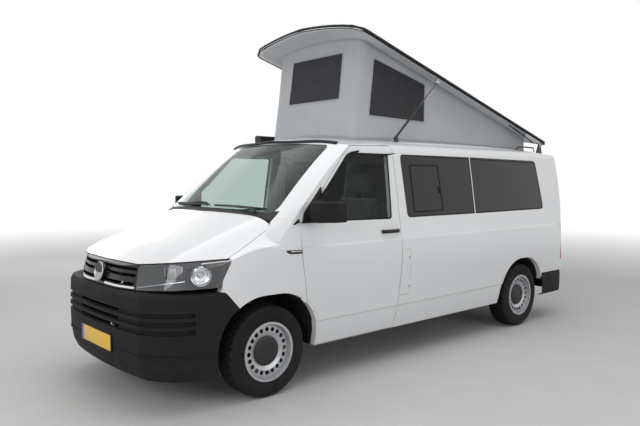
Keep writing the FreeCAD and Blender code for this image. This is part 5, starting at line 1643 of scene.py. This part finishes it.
@dataclass
class Pad:
    """One stuffed pad, made from a side profile and swelled by a cloth simulation."""

    name: str
    profile: tuple[Pair, ...]
    left: float
    right: float
    finish: Finish
    rounding: float = 26.0
    swell: float = 0.014
    voxel: float = 0.012
    fill: float = 0.7
    pressure: float = 4.0
    frames: int = 12
    seam_place: float = 0.60
    seam_width: float = 0.035
    seam_depth: float = 0.006

    def build(self) -> bpy.types.Object:
        """Return the finished pad."""
        shape = Shape()
        points = [at(self.left, station, z) for station, z in rounded(self.profile, self.rounding, 4)]
        shape.slab(points, Vector(((self.right - self.left) * MM, 0, 0)), self.rounding * 0.6 * MM, 3)
        pad = shape.piece(self.name, self.finish, "seat_fabric", angle=70.0)
        self.remesh(pad)
        self.inflate(pad)
        self.crown(pad)
        return pad

    def apply(self, pad: bpy.types.Object) -> None:
        """Turn the pad's modifiers into its mesh, shaded smooth."""
        settle(pad)
        for face in pad.data.polygons:
            face.use_smooth = True

    def remesh(self, pad: bpy.types.Object) -> None:
        """Give the pad an even mesh."""
        even = pad.modifiers.new("even", "REMESH")
        even.mode = "VOXEL"
        even.voxel_size = self.voxel
        self.apply(pad)

    def inflate(self, pad: bpy.types.Object) -> None:
        """Swell the pad with a short cloth simulation, and cap how far it moves."""
        rest = [vert.co.copy() for vert in pad.data.vertices]
        cloth = pad.modifiers.new("stuffing", "CLOTH")
        cloth.settings.use_pressure = True
        cloth.settings.uniform_pressure_force = self.pressure
        cloth.settings.effector_weights.gravity = 0.0
        cloth.point_cache.frame_start = 1
        cloth.point_cache.frame_end = self.frames
        scene = bpy.context.scene
        for step in range(1, self.frames + 1):
            scene.frame_set(step)
        self.apply(pad)
        scene.frame_set(1)
        for vert, start in zip(pad.data.vertices, rest):
            move = vert.co - start
            if move.length > self.swell:
                vert.co = start + move.normalized() * self.swell

    def crown(self, pad: bpy.types.Object) -> None:
        """Press sewn channels into the pad's broad face and smooth it once."""
        middle = (self.left + self.right) / 2 * MM
        half = abs(self.right - self.left) / 2 * MM
        for vert in pad.data.vertices:
            across = abs(vert.co.x - middle) / half
            seam = math.exp(-((across - self.seam_place) / self.seam_width) ** 2)
            vert.co -= vert.normal * (self.seam_depth * seam)
        smooth = pad.modifiers.new("smooth", "SUBSURF")
        smooth.levels = 1
        smooth.render_levels = 1


@dataclass
class Cabin:
    """Seats, dashboard details, visors, the inner mirror and the cupboards' fronts."""

    cushion: tuple[Pair, ...] = ((1745, 770), (1728, 880), (1745, 925), (1850, 918), (2195, 878),
                                 (2240, 770))
    backrest: tuple[Pair, ...] = ((2150, 880), (2205, 1120), (2262, 1330), (2300, 1420), (2360, 1425),
                                  (2335, 1250), (2290, 900), (2260, 845))
    headrest: tuple[Pair, ...] = ((2300, 1470), (2312, 1600), (2330, 1630), (2385, 1622), (2380, 1500),
                                  (2360, 1465))
    seat_span: Pair = (158, 652)
    bench: tuple[Pair, ...] = ((3560, 780), (3548, 900), (3570, 918), (4010, 892), (4060, 780))
    bench_back: tuple[Pair, ...] = ((4010, 905), (4125, 1470), (4150, 1478), (4205, 1470), (4165, 900),
            (4100, 850))
    floor: float = 521.0
    screen: tuple[float, float, float, float] = (-95, 95, 1085, 1205)
    vent_middles: tuple[float, ...] = (-720, -160, 160, 720)
    vent_heights: tuple[float, ...] = (1118, 1134, 1150, 1166)
    vent_half: float = 42.0
    slat: float = 5.0
    visor: tuple[tuple[float, float, float], ...] = ((190, 1755, 1808), (560, 1785, 1800), (560, 1905, 1846),
            (190, 1880, 1858))
    cupboard_start: float = 2640.0
    cupboard_pitch: float = 505.0
    cupboard_width: float = 490.0
    cupboard_face: Pair = (420.5, 429.7)

    def build(self) -> None:
        """Build everything inside."""
        self.seats()
        self.dashboard()
        self.headliner()
        self.cupboards()

    def seats(self) -> None:
        """Build two front seats and the bench as pads on plinths."""
        made = []
        for name, sign in SIDES:
            low, high = sorted(place * sign for place in self.seat_span)
            seat = Pad(f"seat_cushion_{name}", self.cushion, low, high, SEAT_CLOTH).build()
            back = Pad(f"seat_back_{name}", self.backrest, low + 12, high - 12, SEAT_CLOTH).build()
            rest = Pad(f"headrest_{name}", self.headrest, low + 120, high - 120, SEAT_EDGE, 18.0, 0.008,
                       0.010).build()
            base = Shape()
            base.block(at(low + 40, 1790, self.floor), at(high - 40, 2215, 770), 0.02, 3)
            for x in (low + 190, high - 190):
                base.rod(at(x, 2325, 1405), at(x, 2345, 1485), 0.0065, 0.0065, 12)
            plinth = base.piece(f"seat_plinth_{name}", DASH, "seat_fabric", angle=35.0)
            made += [seat, back, rest, plinth]
        made.append(Pad("bench_cushion", self.bench, -652, 322, SEAT_CLOTH, voxel=0.016).build())
        made.append(Pad("bench_back", self.bench_back, -640, 310, SEAT_CLOTH, voxel=0.016).build())
        base = Shape()
        base.block(at(-630, 3590, self.floor), at(300, 4110, 780), 0.012, 3)
        made.append(base.piece("bench_plinth", BOARD, "seat_fabric", angle=35.0))
        for item in made:
            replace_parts(item, "seats")

    def dashboard(self) -> None:
        """Build the screen, the vents and the gear lever."""
        front = Skin([frame["nodes"]["dashboard"]])

        def look(x: float, z: float) -> Vector:
            """Return the dashboard's point seen from the seats."""
            return front.hit(at(x, 2100.0, z), Vector((0, -1, 0)), at(x, 1500.0, z))

        lay("dash_screen", GLOSS_BLACK, rounded(box(*self.screen), 8.0, 3), look, Vector((0, 0.003, 0)),
            0.004)
        vents = Shape()
        for x in self.vent_middles:
            for z in self.vent_heights:
                cover(vents, box(x - self.vent_half, x + self.vent_half, z, z + self.slat), look,
                      Vector((0, 0.004, 0)), 0.006, step=90.0)
        vents.piece("dash_vents", GLOSS_BLACK, angle=35.0)
        lever = Shape()
        spot = look(60, 1010)
        lever.rod(spot + Vector((0, -0.02, -0.01)), spot + Vector((0, 0.085, 0.055)), 0.009, 0.007, 14)
        lever.ball(spot + Vector((0, 0.092, 0.062)), 0.026, 20)
        lever.piece("gear_lever", TRIM, angle=50.0)

    def headliner(self) -> None:
        """Build the sun visors and the inner mirror."""
        for name, sign in SIDES:
            visor = Shape()
            corners = [at(x * sign, station, z) for x, station, z in self.visor]
            visor.slab(corners, Vector((0, 0.006, -0.016)), 0.006, 3)
            visor.piece(f"sun_visor_{name}", DASH, angle=40.0)
        glass = Shape()
        glass.block(at(-118, 1765, 1712), at(118, 1790, 1778), 0.010, 3)
        glass.rod(at(0, 1760, 1800), at(0, 1775, 1770), 0.008, 0.010, 14)
        glass.piece("inner_mirror", TRIM, angle=40.0)

    def cupboards(self) -> None:
        """Build the cupboard doors with their round catches."""
        doors, knobs = Shape(), Shape()
        face, back = self.cupboard_face
        for index in range(3):
            start = self.cupboard_start + index * self.cupboard_pitch
            for low, high in ((560, 860), (872, 1140)):
                doors.block(at(face, start, low), at(back, start + self.cupboard_width, high), 0.003)
                middle = at(face, start + self.cupboard_width / 2, high - 28)
                knobs.rod(middle, middle - Vector((0.008, 0, 0)), 0.011, 0.009, 18)
        doors.piece("cupboard_doors", BOARD, "cupboard_board")
        knobs.piece("cupboard_catches", CHROME, "cupboard_board", angle=40.0)


def main() -> None:
    """Build the vehicle's looks in order."""
    logging.basicConfig(level=logging.INFO, format="%(name)s: %(message)s")
    Studio().build()
    dress_frame()
    for axle, station in (("front", FRONT_HUB), ("rear", REAR_HUB)):
        for side, sign in SIDES:
            RoadWheel(axle, side, sign, station).build()
    for side, sign in SIDES:
        HeadLamp(side, sign).build()
        DoorTrim(side, sign).build()
    looks = (LowerBody(), NoseTrim(), GlassTrim(), SideTrim(), TailTrim(), Tent(), RoofShell(), Awning(),
             Cabin())
    for part in looks:
        log.info("building %s", type(part).__name__)
        part.build()


if __name__ == "__main__":
    main()
    scene = bpy.context.scene
    scene.view_settings.view_transform = "Standard"
